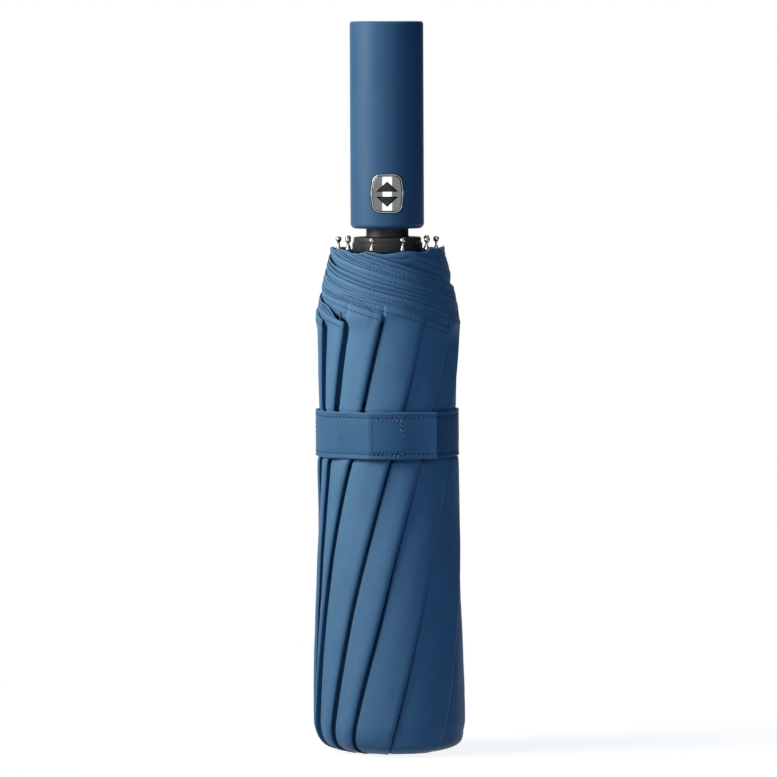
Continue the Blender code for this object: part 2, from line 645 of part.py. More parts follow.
def make_top_ribs(material):
    low = CROWN_TOP + FIT
    body = channel(TOP_RIB_RADIUS, low, KNEE_HEIGHT + TONGUE_REACH, KNEE_HEIGHT)
    near = WIRE_CIRCLE_RADIUS - WIRE_TONGUE_REACH
    far = WIRE_CIRCLE_RADIUS + WIRE_TONGUE_REACH
    floor = CROWN_WIRE_HEIGHT - WIRE_TONGUE_REACH
    outline = [(near, floor), (far, floor), (TOP_RIB_RADIUS + CHANNEL_DEPTH / 4, low),
               (TOP_RIB_RADIUS + CHANNEL_DEPTH / 4, low + TONGUE_ROOT),
               (TOP_RIB_RADIUS, low + TONGUE_ROOT), (near, CROWN_WIRE_HEIGHT + WIRE_TONGUE_REACH)]
    elbow = lug(STRETCHER_RADIUS, ELBOW_HEIGHT, TONGUE_REACH, TOP_RIB_RADIUS)
    mesh = shape(body, add=[filled_root(TOP_RIB_RADIUS, low, low + TONGUE_ROOT),
                            plate(outline, TONGUE_THICKNESS), elbow],
                 cut=[eye(WIRE_CIRCLE_RADIUS, CROWN_WIRE_HEIGHT, WIRE_DIAMETER),
                      eye(STRETCHER_RADIUS, ELBOW_HEIGHT, PIN_DIAMETER)])
    place_ribs("top_rib", mesh, material)


def make_middle_ribs(material):
    high = KNEE_HEIGHT + TONGUE_REACH
    body = channel(MIDDLE_RIB_RADIUS, FOOT_HEIGHT - TONGUE_REACH, high, FOOT_HEIGHT)
    knee = lug(TOP_RIB_RADIUS, KNEE_HEIGHT, TONGUE_REACH, MIDDLE_RIB_RADIUS)
    mesh = shape(body, add=[knee], cut=[eye(TOP_RIB_RADIUS, KNEE_HEIGHT, PIN_DIAMETER)])
    place_ribs("middle_rib", mesh, material)


def bead_profile(diameter, height, steps=4):
    """A ball's outline between the two thin necks beside it, from below."""
    radius = diameter / 2
    neck = TIP_NECK_DIAMETER / 2
    start = math.asin(neck / radius)
    points = []
    for k in range(steps + 1):
        angle = start + (math.pi - 2 * start) * k / steps
        points.append((radius * math.sin(angle), height - radius * math.cos(angle)))
    return points


def make_tip_ribs(material):
    wire = TIP_WIRE_DIAMETER / 2
    bead = TIP_BALL_HEIGHT - TIP_BALL_TO_BEAD
    wire_top = bead - TIP_BEAD_TO_WIRE
    profile = [(0.0, FOOT_HEIGHT - TONGUE_REACH), (wire, FOOT_HEIGHT - TONGUE_REACH),
               (wire, wire_top), (TIP_NECK_DIAMETER / 2, wire_top)]
    profile += bead_profile(TIP_BEAD_DIAMETER, bead)
    profile += bead_profile(TIP_BALL_DIAMETER, TIP_BALL_HEIGHT)[:-1]
    profile.append((0.0, TIP_BALL_HEIGHT + TIP_BALL_DIAMETER / 2))
    body = turned(profile, SMALL_SIDES, closed=False, offset=TIP_CIRCLE_RADIUS)
    foot = lug(MIDDLE_RIB_RADIUS, FOOT_HEIGHT, TONGUE_REACH, TIP_CIRCLE_RADIUS)
    mesh = shape(body, add=[foot], cut=[eye(MIDDLE_RIB_RADIUS, FOOT_HEIGHT, PIN_DIAMETER)])
    place_ribs("tip_rib", mesh, material)


def place_ribs(name, mesh, material):
    """Set ten copies of one rib around the shaft."""
    for index in range(RIB_COUNT):
        place(f"{name}_{index + 1:02d}", mesh, material, turn=rib_turn(index))


def pleat_columns():
    """Angle at the strap's height, and drop share, of each column around the bundle."""
    columns = []
    previous = PLEAT_EDGE_DEGREES[-1] - 360.0
    for edge in PLEAT_EDGE_DEGREES:
        start = previous + PLEAT_STEP_DEGREES
        for phase, drop in zip(PLEAT_PHASE_SHARES, PLEAT_DROP_SHARES):
            columns.append((start + (edge - start) * phase, drop))
        previous = edge
    return columns


def make_canopy(material):
    """The furled cloth: ten pleats that wind round the bundle, hollow around the frame."""
    columns = pleat_columns()
    bm = bmesh.new()
    rings = []

    def ring(height, radius, step_share, waved=False):
        twist = PLEAT_TWIST_DEGREES * (height / BUNDLE_HEIGHT - STRAP_CENTRE_SHARE)
        verts = []
        for angle, drop in columns:
            turn = angle + twist
            wave = math.cos(math.radians(RIB_COUNT * turn) + math.pi)
            rise = CLOTH_RIM_WAVE * wave if waved else 0.0
            local = radius - PLEAT_STEP * step_share * drop
            verts.append(bm.verts.new(around(turn, local, height + rise)))
        rings.append(verts)

    hole = CAP_DIAMETER / 2 + FIT
    ring(0.0, hole, 0.0)
    ring(0.0, hole + CLOTH_REST_WIDTH, 0.0)
    for height, radius, step in LOWER_OUTLINE_SHARES:
        ring(height * BUNDLE_HEIGHT, radius * BUNDLE_RADIUS, step)
    waist = STRAP_WIDTH / 2 + STRAP_MARGIN
    ring(STRAP_CENTRE - waist, WAIST_RADIUS, 1.0)
    ring(STRAP_CENTRE, WAIST_RADIUS, 1.0)
    ring(STRAP_CENTRE + waist, WAIST_RADIUS, 1.0)
    for height, radius, step in UPPER_OUTLINE_SHARES:
        ring(height * BUNDLE_HEIGHT, radius * BUNDLE_RADIUS, step)
    ring(BUNDLE_HEIGHT, RIM_SHARES[0] * BUNDLE_RADIUS, RIM_SHARES[1], waved=True)
    ring(BUNDLE_HEIGHT, LINING_RADIUS, 0.0, waved=True)
    for height, space in LINING_SHARES:
        ring(height * BUNDLE_HEIGHT, LINING_RADIUS + LINING_SPACE * space, 0.0)
    inside = CLOTH_UNDERSIDE + CLOTH_FLOOR
    stem_hole = CAP_STEM_DIAMETER / 2 + FIT
    ring(FLOOR_CORNER_SHARE * BUNDLE_HEIGHT, LINING_RADIUS, 0.0)
    ring(inside, LINING_RADIUS - LINING_SPACE, 0.0)
    ring(inside, stem_hole, 0.0)
    ring(CLOTH_UNDERSIDE, stem_hole, 0.0)
    ring(CLOTH_UNDERSIDE, hole, 0.0)
    skin_rings(bm, rings, closed=True)
    return place("canopy", to_mesh(bm), material)


def smooth_share(value):
    value = min(max(value, 0.0), 1.0)
    return value * value * (3.0 - 2.0 * value)


def band(start, end, inner_radius, thickness, height):
    """A band round the bundle between two angles; inner_radius is a function of the angle."""
    steps = max(2, math.ceil((end - start) / STRAP_STEP_DEGREES))
    low = STRAP_CENTRE - height / 2
    high = STRAP_CENTRE + height / 2
    bm = bmesh.new()
    sections = []
    for k in range(steps + 1):
        angle = start + (end - start) * k / steps
        inner = inner_radius(angle)
        sections.append([bm.verts.new(around(angle, radius, level)) for radius, level in
                         ((inner, low), (inner + thickness, low),
                          (inner + thickness, high), (inner, high))])
    skin_rings(bm, sections, closed=False)
    bm.faces.new(sections[0])
    bm.faces.new(sections[-1])
    return to_mesh(bm)


def make_strap(cloth, hooks, tab_pivot):
    def strap_radius(angle):
        low, high = STRAP_RISE_DEGREES
        rise = smooth_share((angle - low) / (high - low))
        return STRAP_RADIUS + (TAB_RADIUS - STRAP_RADIUS) * rise

    gap = math.degrees(FIT / TAB_RADIUS)
    patch = STRAP_WIDTH - PATCH_MARGIN
    place("strap", band(STRAP_START_DEGREES, 360.0 + TAB_ROOT_DEGREES - gap, strap_radius,
                        STRAP_THICKNESS, STRAP_WIDTH), cloth)
    place("strap_loop_patch", band(*PATCH_DEGREES, lambda angle: LOOP_RADIUS,
                                   PATCH_THICKNESS, patch), hooks)
    place("strap_tab", band(TAB_ROOT_DEGREES, TAB_END_DEGREES, lambda angle: TAB_RADIUS,
                            STRAP_THICKNESS, STRAP_WIDTH), cloth, tab_pivot)
    place("strap_hook_patch", band(*PATCH_DEGREES, lambda angle: HOOK_RADIUS,
                                   PATCH_THICKNESS, patch), hooks, tab_pivot)


def main():
    clear_scene()
    soft_blue = make_material("soft_touch_blue", (0.075, 0.16, 0.26), 0.55)
    cloth_blue = make_material("cloth_blue", (0.085, 0.19, 0.31), 0.7)
    tape_blue = make_material("hook_and_loop_tape", (0.06, 0.14, 0.24), 0.9)
    black = make_material("black_nylon", (0.012, 0.012, 0.013), 0.45)
    chrome = make_material("chrome_plate", (0.6, 0.6, 0.6), 0.2, 1.0)
    steel = make_material("plated_steel", (0.4, 0.4, 0.41), 0.35, 1.0)

    handle = pivot("handle_slide_axis", (0, 0, HANDLE_MOUTH))
    middle = pivot("middle_slide_axis", (0, 0, CROWN_TOP))
    button = pivot("button_press_axis", (0, -BUTTON_FACE, BUTTON_CENTRE))
    hinge = pivot("strap_peel_axis", around(TAB_ROOT_DEGREES, TAB_RADIUS + STRAP_THICKNESS,
                                            STRAP_CENTRE))

    make_handle_shell(soft_blue, handle)
    make_handle_core(black, handle)
    make_bezel(chrome, handle)
    make_button(chrome, button)
    make_latch(steel, button)
    make_springs(steel, handle)
    make_tubes(steel, handle, middle)
    make_crown(black)
    make_crown_cap(black)
    make_wire_ring("crown_wire", CROWN_WIRE_HEIGHT, steel)
    make_wire_ring("runner_wire", RUNNER_WIRE_HEIGHT, steel)
    make_runner(black)
    make_stretchers(steel)
    make_top_ribs(steel)
    make_middle_ribs(steel)
    make_tip_ribs(chrome)
    make_canopy(cloth_blue)
    make_strap(cloth_blue, tape_blue, hinge)


main()
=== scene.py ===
import random
from functools import partial
from math import atan, copysign, cos, degrees, dist, exp, hypot, pi, radians, sin, sqrt, tau
import bmesh
import bpy
from mathutils import Matrix, Vector, noise


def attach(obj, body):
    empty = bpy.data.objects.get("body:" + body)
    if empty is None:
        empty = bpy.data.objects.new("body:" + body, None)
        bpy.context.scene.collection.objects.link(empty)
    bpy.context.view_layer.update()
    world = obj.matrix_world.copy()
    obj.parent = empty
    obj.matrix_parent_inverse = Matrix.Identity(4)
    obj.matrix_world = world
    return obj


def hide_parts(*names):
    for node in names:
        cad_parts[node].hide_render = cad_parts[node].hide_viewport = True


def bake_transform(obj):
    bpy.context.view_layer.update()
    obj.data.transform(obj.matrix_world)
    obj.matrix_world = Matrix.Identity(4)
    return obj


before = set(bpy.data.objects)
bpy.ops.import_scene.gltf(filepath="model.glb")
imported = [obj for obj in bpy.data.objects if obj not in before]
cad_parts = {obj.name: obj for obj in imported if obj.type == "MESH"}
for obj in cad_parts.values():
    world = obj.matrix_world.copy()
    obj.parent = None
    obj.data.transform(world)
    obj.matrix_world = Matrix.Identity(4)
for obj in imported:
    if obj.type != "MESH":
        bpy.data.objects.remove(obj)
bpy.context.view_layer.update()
mm = 0.001

# Sizes that several pieces share. Angles are degrees from the front, growing towards +X.
bundle = {
    "strapHeight": 130.73 * mm,     # centre line of the strap above the floor
    "twistHeight": 206.2 * mm,      # height over which a pleat makes one full wind
    "ribCount": 10,
    "hemSlope": 0.275,              # a hem climbs this much per length, going left
    "hemSeam": 2.3 * mm,            # stitch line below the top edge of a hem
    "rimHeight": 206.6 * mm, "rimWave": 0.35 * mm, "rimSaddle": 0.8 * mm, "rimRagged": 0.5 * mm,
}


def around(angle, radius, height):
    turn = radians(angle)
    return (radius * sin(turn), -radius * cos(turn), height)


def ease(value):
    value = min(max(value, 0.0), 1.0)
    return value * value * (3.0 - 2.0 * value)


def wobble(x, y, z):
    return noise.noise(Vector((x, y, z)))


def smoothThrough(points, x):
    # a smooth curve through (x, value) pairs, which doesn't overshoot between them
    if x <= points[0][0]:
        return points[0][1]
    if x >= points[-1][0]:
        return points[-1][1]
    slopes = [(b[1] - a[1]) / (b[0] - a[0]) for a, b in zip(points, points[1:])]
    index = max(i for i in range(len(slopes)) if points[i][0] <= x)

    def tangent(i):
        if i in (0, len(slopes)):
            return slopes[min(i, len(slopes) - 1)]
        before, after = slopes[i - 1], slopes[i]
        return 0.0 if before * after <= 0 else 2.0 * before * after / (before + after)

    (x0, y0), (x1, y1) = points[index], points[index + 1]
    width = x1 - x0
    t = (x - x0) / width
    return ((2 * t**3 - 3 * t**2 + 1) * y0 + (t**3 - 2 * t**2 + t) * width * tangent(index)
            + (3 * t**2 - 2 * t**3) * y1 + (t**3 - t**2) * width * tangent(index + 1))


def putIn(name, data):
    thing = bpy.data.objects.new(name, data)
    bpy.context.scene.collection.objects.link(thing)
    return thing


def makeObject(name, points, faces, material, uvs=None):
    mesh = bpy.data.meshes.new(name)
    mesh.from_pydata(points, [], faces)
    if uvs is not None:
        layer = mesh.uv_layers.new(name="UVMap")
        for loop in mesh.loops:
            layer.data[loop.index].uv = uvs[loop.vertex_index]
    mesh.materials.append(material)
    mesh.shade_smooth()
    return putIn(name, mesh)


def outwards(piece, merge=1e-6):
    # merge doubles, then turn every face out
    bm = bmesh.new()
    bm.from_mesh(piece.data)
    bmesh.ops.remove_doubles(bm, verts=bm.verts, dist=merge)
    bmesh.ops.recalc_face_normals(bm, faces=bm.faces)
    bm.to_mesh(piece.data)
    bm.free()
    return piece


def sharpen(piece, angle=35.0):
    piece.data.shade_smooth()
    piece.data.set_sharp_from_angle(angle=radians(angle))
    return piece


def settle(piece):
    # the evaluated result as a plain mesh, with no modifier left
    bpy.context.view_layer.update()
    graph = bpy.context.evaluated_depsgraph_get()
    mesh = bpy.data.meshes.new_from_object(piece.evaluated_get(graph))
    piece.modifiers.clear()
    piece.data = mesh
    mesh.name = piece.name
    return piece


def joinPieces(name, pieces):
    bpy.ops.object.select_all(action="DESELECT")
    for piece in pieces:
        piece.select_set(True)
    bpy.context.view_layer.objects.active = pieces[0]
    bpy.ops.object.join()
    pieces[0].name = pieces[0].data.name = name
    return pieces[0]


def ringFaces(rings, count, closed=False):
    # quads between rings of equal length, each of which closes on itself
    faces = []
    for ring in range(rings if closed else rings - 1):
        low, high = ring * count, (ring + 1) % rings * count
        for k in range(count):
            n = (k + 1) % count
            faces.append((low + k, low + n, high + n, high + k))
    return faces


def sweep(name, sections, material, uvs=None):
    # join equal closed sections into a tube with filled ends
    points = [point for section in sections for point in section]
    count = len(sections[0])
    faces = [(a, d, c, b) for a, b, c, d in ringFaces(len(sections), count)]
    faces.append(tuple(range(count)))
    faces.append(tuple(range(len(points) - 1, len(points) - count - 1, -1)))
    return outwards(makeObject(name, points, faces, material, uvs))


def assign(piece, body, slotName, *nodes):
    if body:
        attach(piece, body)
    if nodes:
        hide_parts(*nodes)


# Materials
def hexColour(text):
    channels = [int(text[i:i + 2], 16) / 255.0 for i in (0, 2, 4)]
    return tuple(c / 12.92 if c <= 0.04045 else ((c + 0.055) / 1.055) ** 2.4 for c in channels) + (1.0,)


def feed(node, inputs):
    # set or link a node's inputs; where another node is given, its first output in use is linked
    for key, value in inputs.items():
        if isinstance(value, bpy.types.Node):
            value = next(socket for socket in value.outputs if socket.enabled)
        if isinstance(value, bpy.types.NodeSocket):
            node.id_data.links.new(value, node.inputs[key])
        else:
            node.inputs[key].default_value = value


def addNode(tree, kind, inputs=None, **settings):
    node = tree.nodes.new(kind)
    for name, value in settings.items():
        setattr(node, name, value)
    feed(node, inputs or {})
    return node


def newMaterial(name, constants):
    material = bpy.data.materials.new(name)
    material.use_nodes = True
    shader = material.node_tree.nodes["Principled BSDF"]
    feed(shader, constants)
    return material, partial(addNode, material.node_tree), shader


def coverSurface(add, shader, tone, wear, low, high, normal):
    # wear is the noise that spreads the roughness between its two ends
    rough = add("ShaderNodeMapRange", {"Value": wear, "From Min": 0.3, "From Max": 0.7,
                                       "To Min": low, "To Max": high})
    feed(shader, {"Base Color": tone, "Roughness": rough, "Normal": normal})


def woven(name, look):
    # Pongee: a plain-woven polyester, calendered smooth and proofed, so it is dull with a soft sheen
    level = look["roughness"]
    material, add, shader = newMaterial(name, {
        "Roughness": level, "IOR": 1.5, "Specular IOR Level": 0.17, "Sheen Weight": 0.05,
        "Sheen Roughness": 0.45, "Sheen Tint": hexColour(look["sheen"])})
    uv = add("ShaderNodeUVMap", uv_map="UVMap").outputs["UV"]
    # a wave's period is 0.314 / scale, so the scale follows from the thread pitch
    threads = [add("ShaderNodeTexWave", {
        "Vector": uv, "Scale": 0.31416 / look["threadPitch"], "Distortion": 0.6, "Detail": 1.0,
        "Detail Scale": 0.4}, bands_direction=way).outputs["Fac"] for way in "XY"]
    weave = add("ShaderNodeMath", {0: threads[0], 1: threads[1]}, operation="MULTIPLY")
    # slubs: threads that are a little thicker for some millimetres, and cloudy dyeing
    stretched = add("ShaderNodeVectorMath", {0: uv, 1: (1100.0, 420.0, 1.0)}, operation="MULTIPLY")
    slubs = add("ShaderNodeTexNoise", {"Vector": stretched, "Scale": 1.0, "Detail": 2.0})
    clouds = add("ShaderNodeTexNoise", {"Vector": uv, "Scale": 85.0, "Detail": 3.0})
    tone = add("ShaderNodeMath", {0: slubs, 1: clouds}, operation="ADD")
    share = add("ShaderNodeMapRange", {"Value": tone, "From Min": 0.7, "From Max": 1.3})
    colour = add("ShaderNodeMix", {0: share, 6: hexColour(look["dark"]), 7: hexColour(look["light"])},
                 data_type="RGBA")
    # painted highlight: the folded edge is coloured paler; painted shade: a fine dark line is coloured
    # along the seam, where the needle draws the cloth in
    across = add("ShaderNodeSeparateXYZ", {"Vector": uv}).outputs["Y"]
    folded = add("ShaderNodeMath", {0: across}, operation="ABSOLUTE")
    for at, low, high, strength, paint in (("edgeAt", 0.05, 0.5, "edgeHighlightShare", "paintedEdgeHighlight"),
                                           ("seamAt", 0.12, 0.42, "seamShadeShare", "paintedSeamShade")):
        away = add("ShaderNodeMath", {0: folded, 1: look[at]}, operation="SUBTRACT")
        distance = add("ShaderNodeMath", {0: away}, operation="ABSOLUTE")
        line = add("ShaderNodeMapRange", {
            "Value": distance, "From Min": low * mm, "From Max": high * mm, "To Min": look[strength],
            "To Max": 0.0})
        colour = add("ShaderNodeMix", {0: line, 6: colour, 7: hexColour(look[paint])}, data_type="RGBA")
    crease = add("ShaderNodeBump", {"Height": clouds, "Strength": 0.25, "Distance": 0.4 * mm})
    bump = add("ShaderNodeBump", {"Height": weave, "Strength": 0.35, "Distance": 0.05 * mm,
                                  "Normal": crease})
    coverSurface(add, shader, colour, clouds, level - 0.06, level + 0.06, bump)
    return material


def grained(name, colours, constants, grain, strength, wearScale=60.0, spread=0.05, isDrawn=False):
    # a solid with a cloudy tone, a fine surface grain and roughness that varies with handling
    material, add, shader = newMaterial(name, constants)
    place = add("ShaderNodeTexCoord").outputs["Object"]
    level, relief = constants["Roughness"], grain * 0.3
    rougher = level + spread
    if isDrawn:
        # the grain is pulled out into lines along the shaft
        stretched = add("ShaderNodeVectorMath", {0: place, 1: (1.0 / grain, 1.0 / grain, 12.0)},
                        operation="MULTIPLY")
        wear = add("ShaderNodeTexNoise", {"Vector": stretched, "Scale": 1.0, "Detail": 3.0})
        share = fine = wear
        rougher, relief = level + 0.08, 0.02 * mm
    else:
        fine = add("ShaderNodeTexNoise", {"Vector": place, "Scale": 1.0 / grain, "Detail": 2.0})
        wear = add("ShaderNodeTexNoise", {"Vector": place, "Scale": wearScale, "Detail": 3.0})
        share = add("ShaderNodeMapRange", {"Value": wear, "From Min": 0.3, "From Max": 0.7})
    tone = add("ShaderNodeMix", {0: share, 6: hexColour(colours[0]), 7: hexColour(colours[1])},
               data_type="RGBA")
    bump = add("ShaderNodeBump", {"Height": fine, "Strength": strength, "Distance": relief})
    coverSurface(add, shader, tone, wear, level - spread, rougher, bump)
    return material


def coat(roughness, specular, ior=1.5):
    return {"Roughness": roughness, "IOR": ior, "Specular IOR Level": specular}


def metal(roughness):
    return {"Roughness": roughness, "Metallic": 1.0}


# the pale edge colour is a painted highlight on the folded hem edge, and the seam colour is painted
# shade along its stitch line
clothLook = {
    "roughness": 0.54, "sheen": "7FA6CC", "dark": "5680A8", "light": "5D89B1", "paintedEdgeHighlight": "5F8CB4",
    "paintedSeamShade": "14304D", "threadPitch": 0.42 * mm, "seamAt": bundle["hemSeam"],
    "seamShadeShare": 0.55, "edgeAt": 0.1 * mm, "edgeHighlightShare": 0.35,
}
# on the strap the pale edge colour is a painted highlight along both edges, and the seam colour is
# painted shade along the stitch rows
strapLook = dict(clothLook, seamAt=7.4 * mm, edgeAt=9.4 * mm, seamShadeShare=0.4, edgeHighlightShare=0.45,
                 dark="3F6C94", light="46759E", paintedEdgeHighlight="5B8BB3")
pongee = woven("woven pongee", clothLook)   # 0.1 mm threads drawn 0.42 mm apart so that they show
strapPongee = woven("doubled woven pongee", strapLook)
# ABS sprayed with soft-touch lacquer: matt and velvety, with the faint orange peel of a sprayed coat
softTouch = grained("soft-touch lacquered ABS", ("355F87", "39658D"), dict(
    coat(0.5, 0.3, 1.48), **{"Sheen Weight": 0.03, "Sheen Roughness": 0.5,
                             "Sheen Tint": hexColour("7FA0C2")}), 0.22 * mm, 0.12)
# Nylon moulded in a spark-eroded tool: black with a fine even grain
blackNylon = grained("moulded black nylon", ("17191B", "212326"), coat(0.55, 0.4, 1.53),
                     0.18 * mm, 0.25)
# ABS with a polished chrome plate over it: a grey mirror with slight ripples
chromedAbs = grained("chrome-plated ABS", ("787B7C", "818384"), metal(0.08), 1.2 * mm, 0.02,
                     90.0, 0.02)
bezelChrome = grained("bright chrome rim", ("A5AAB2", "B4B9C0"), metal(0.16), 0.8 * mm, 0.02,
                      90.0, 0.03)
# Turned steel tips, barrel-plated: bright, with tumbling marks
tipChrome = grained("tumbled chrome plate", ("8C8B89", "A6A5A3"), metal(0.14), 0.25 * mm, 0.1,
                    400.0, 0.04)
# Printed enamel of the arrows: glossy black line, satin dark field
arrowLine = grained("black printed enamel", ("020202", "050505"), coat(0.4, 0.06), 0.1 * mm, 0.1)
arrowField = grained("dark printed enamel", ("30302E", "393937"), coat(0.5, 0.25), 0.1 * mm, 0.2)
# Steel drawn through a die: fine lines along its length stretch its highlights across them
shaftSteel = grained("drawn plated steel tube", ("8E9093", "AEB0B3"), metal(0.24), 0.12 * mm, 0.15,
                     spread=0.06, isDrawn=True)
springSteel = grained("drawn spring wire", ("5C5B58", "7A7976"), metal(0.33), 0.1 * mm, 0.15,
                      spread=0.06, isDrawn=True)
# Folded steel ribs dipped in black paint: thin satin coat, slightly uneven
blackedRibs = grained("black dipped steel", ("0F1011", "1A1B1D"), coat(0.36, 0.5), 0.5 * mm, 0.15)
# Hook and loop tape: a nylon pile, matt and bristly
hookTape = grained("nylon hook and loop pile", ("35567A", "4A6C90"), coat(0.9, 0.2, 1.53),
                   0.35 * mm, 1.0)
# Polyester sewing thread, twisted: a shade lighter than the cloth, with a slight gloss
thread = grained("twisted polyester thread", ("6890B4", "84A8C8"), coat(0.5, 0.3), 0.12 * mm, 0.3)
# The same thread pulled tight into the strap, where it lies flat: coloured darker, as painted shade
paintedShadeThread = grained("tightly drawn polyester thread, painted shade", ("4C7498", "5D87AB"), coat(0.55, 0.3),
                     0.12 * mm, 0.3)
# and in the box, where it runs back and forth over itself and stands up: coloured paler, as a painted
# highlight
paintedHighlightThread = grained("doubled polyester thread, painted highlight", ("7FA2C4", "A3C0DA"), coat(0.5, 0.4), 0.12 * mm, 0.3)
# Painted shade: dark spots between the stitches stand for the shade in the holes the needle leaves,
# where it pushes the threads apart
paintedHoleShade = grained("painted shade of needle holes", ("07182D", "0C2340"), coat(0.9, 0.0), 0.12 * mm, 0.2)
# Black cotton cards of the studio: no shine at all
flagCloth = grained("black flag cloth", ("020202", "050505"), coat(0.95, 0.0), 2.0 * mm, 0.1)
print("materials made")

# Camera: nearly level with the handle's end, with a long lens
view = {"distance": 2.9, "height": 0.31, "aim": 0.1495, "side": 0.0002, "roll": -0.25, "frame": 0.3194}
cameraData = bpy.data.cameras.new("camera")
camera = putIn("camera", cameraData)
camera.location = (view["side"], -view["distance"], view["height"])
sight = Vector((view["side"], 0.0, view["aim"])) - camera.location
tilt = Matrix.Rotation(radians(view["roll"]), 4, "Z")
camera.rotation_euler = (sight.to_track_quat("-Z", "Y").to_matrix().to_4x4() @ tilt).to_euler()
cameraData.angle = 2 * atan(view["frame"] / 2 / sight.length)
cameraData.clip_start, cameraData.clip_end = 0.05, 50.0
bpy.context.scene.camera = camera

# Furled canopy. Each pleat: its folded edge at the strap's height, how fast it winds below and
# above the strap, how that eases towards the crown, the height of its hem's corner in mm, and how
# many times wider than the plain one its gap is low down, at the strap and high up.
pleats = [dict(zip(("edge", "below", "easing", "above", "corner", "gap"), row)) for row in (
    (-80.0, 108.0, 90.0, 60.0, 178.6, (1.3, 1.3, 1.3)),
    (-57.0, 92.0, 95.0, 88.0, 177.8, (3.0, 3.0, 3.6)),
    (-28.5, 130.0, 83.0, 102.0, 181.1, (3.3, 1.8, 3.0)),
    (7.7, 130.0, 47.0, 102.0, 179.6, (2.3, 1.5, 1.5)),
    (34.6, 128.0, 30.0, 126.0, 174.6, (2.3, 1.1, 1.0)),
    (66.0, 120.0, 24.0, 112.0, 177.2, (1.8, 0.8, 1.0)),
    (106.0, 104.0, 10.0, 108.0, 179.5, (1.2, 1.0, 1.0)),
    (151.0, 108.0, 30.0, 108.0, 176.4, (1.6, 1.6, 1.6)),
    (196.0, 108.0, 40.0, 106.0, 180.2, (1.4, 1.4, 1.4)),
    (241.0, 108.0, 60.0, 92.0, 177.0, (1.7, 1.7, 1.7)))]
for pleat in pleats:
    pleat["corner"] *= mm
canopy = {
    # outline from the crown cap outwards and up, as (radius, height)
    "outline": [
        (10.9, 0.0), (14.1, 0.0), (20.5, 0.9), (26.5, 2.9), (30.2, 7.4), (31.5, 12.6), (31.4, 26.8),
        (31.0, 45.4), (30.55, 63.9), (30.0, 82.5), (29.35, 101.0), (29.25, 112.0), (29.3, 118.0),
        (29.1, 121.2), (28.3, 122.6), (28.1, 131.7), (28.25, 140.9), (28.75, 142.1), (28.9, 146.0),
        (29.1, 151.0), (29.5, 165.0), (29.75, 176.3), (28.45, 186.6), (26.4, 195.9), (23.8, 206.2)],
    "thickness": 0.2 * mm, "floor": 0.36 * mm, "capRuns": [0.0, 1.6, 3.2], "bodyTop": 150.0 * mm,
    # arc from a pleat's left side, and depth under the outline, where it comes out of its neighbour
    "root": [(-4.5, 7.4), (-2.0, 7.5), (-0.3, 7.1), (0.1, 5.9), (0.25, 4.4), (0.4, 3.2), (0.55, 2.4),
             (0.8, 1.85), (1.5, 1.6), (3.0, 1.42), (6.0, 1.08)],
    "middle": [(0.18, 0.96), (0.36, 0.82), (0.52, 0.7), (0.68, 0.58), (0.84, 0.48)],
    # arc before the folded edge, round the fold and back under it
    "nose": [(4.2, 0.38), (2.8, 0.18), (1.7, 0.14), (0.9, 0.28), (0.35, 0.54), (0.0, 0.88), (0.05, 1.1),
             (0.4, 1.3), (1.5, 1.7), (3.5, 2.3)],
    "rootEnd": 6.0 * mm, "noseStart": 4.2 * mm, "gapEnd": 0.8 * mm, "fullWidth": 12.0 * mm,
    "hemRows": [20.0, 16.0, 12.0, 9.0, 6.5, 4.5, 3.3, 2.75, 2.3, 1.85, 1.2, 0.5, 0.15, 0.0],
    # how far the cloth stands out this far below the hem's edge
    "hemSwell": [(0.0, -0.12), (0.15, 0.1), (0.5, 0.2), (1.2, 0.2), (1.85, 0.1), (2.3, -0.04),
                 (2.75, 0.08), (3.3, 0.05), (4.5, 0.0)],
    "pressed": (122.4, 140.8),      # between these heights the strap draws the pleats flat
    "belly": 2.4 * mm, "bellyAngle": 62.0, "uvApart": 0.05, "billow": 0.22 * mm, "ripple": 0.12 * mm,
    # steps between rows at the foot, beside the strap's edges and elsewhere, the rows that lead up to
    # the hem, and where the gaps pass from low to strap and from strap to high: (start, length)
    "footStep": 1.5, "strapStep": 0.9, "step": 3.2, "footEnd": 34.0, "strapEdge": (6.0, 14.0),
    "hemRisers": 6, "waist": (20.0, 90.0), "shoulder": (128.0, 22.0),
}


def edgeAngle(index, height):
    lap, place = divmod(index, len(pleats))
    pleat = pleats[place]
    t = (height - bundle["strapHeight"]) / bundle["twistHeight"]
    wind = pleat["above"] * t if t > 0 else pleat["below"] * t + pleat["easing"] * t * t
    return pleat["edge"] + wind + 0.9 * wobble(place * 7.3, height * 28.0, 0.0) + 360.0 * lap


outlineCurve = [(0.0, canopy["outline"][0])]
for before, after in zip(canopy["outline"], canopy["outline"][1:]):
    outlineCurve.append((outlineCurve[-1][0] + dist(before, after), after))
radiusAlong = [(run, point[0]) for run, point in outlineCurve]
heightAlong = [(run, point[1]) for run, point in outlineCurve]
radiusAtHeight = [(point[1], point[0]) for run, point in outlineCurve if point[1] >= 7.0]


def outlineRadius(height):
    return smoothThrough(radiusAtHeight, height / mm) * mm


def outlineRow(run, step=0.2):
    # radius, height and outward normal of the outline, this far along it
    radius, height = (smoothThrough(along, run) * mm for along in (radiusAlong, heightAlong))
    dr, dz = (smoothThrough(along, run + step) - smoothThrough(along, run - step)
              for along in (radiusAlong, heightAlong))
    length = hypot(dr, dz) or 1.0
    return radius, height, (dz / length, -dr / length)


def pleatColumns():
    columns = []
    for index in range(len(pleats)):
        for part, unit in (("root", mm), ("middle", 1.0), ("nose", mm)):
            columns += [(index, part, value * unit, depth * mm) for value, depth in canopy[part]]
    return columns


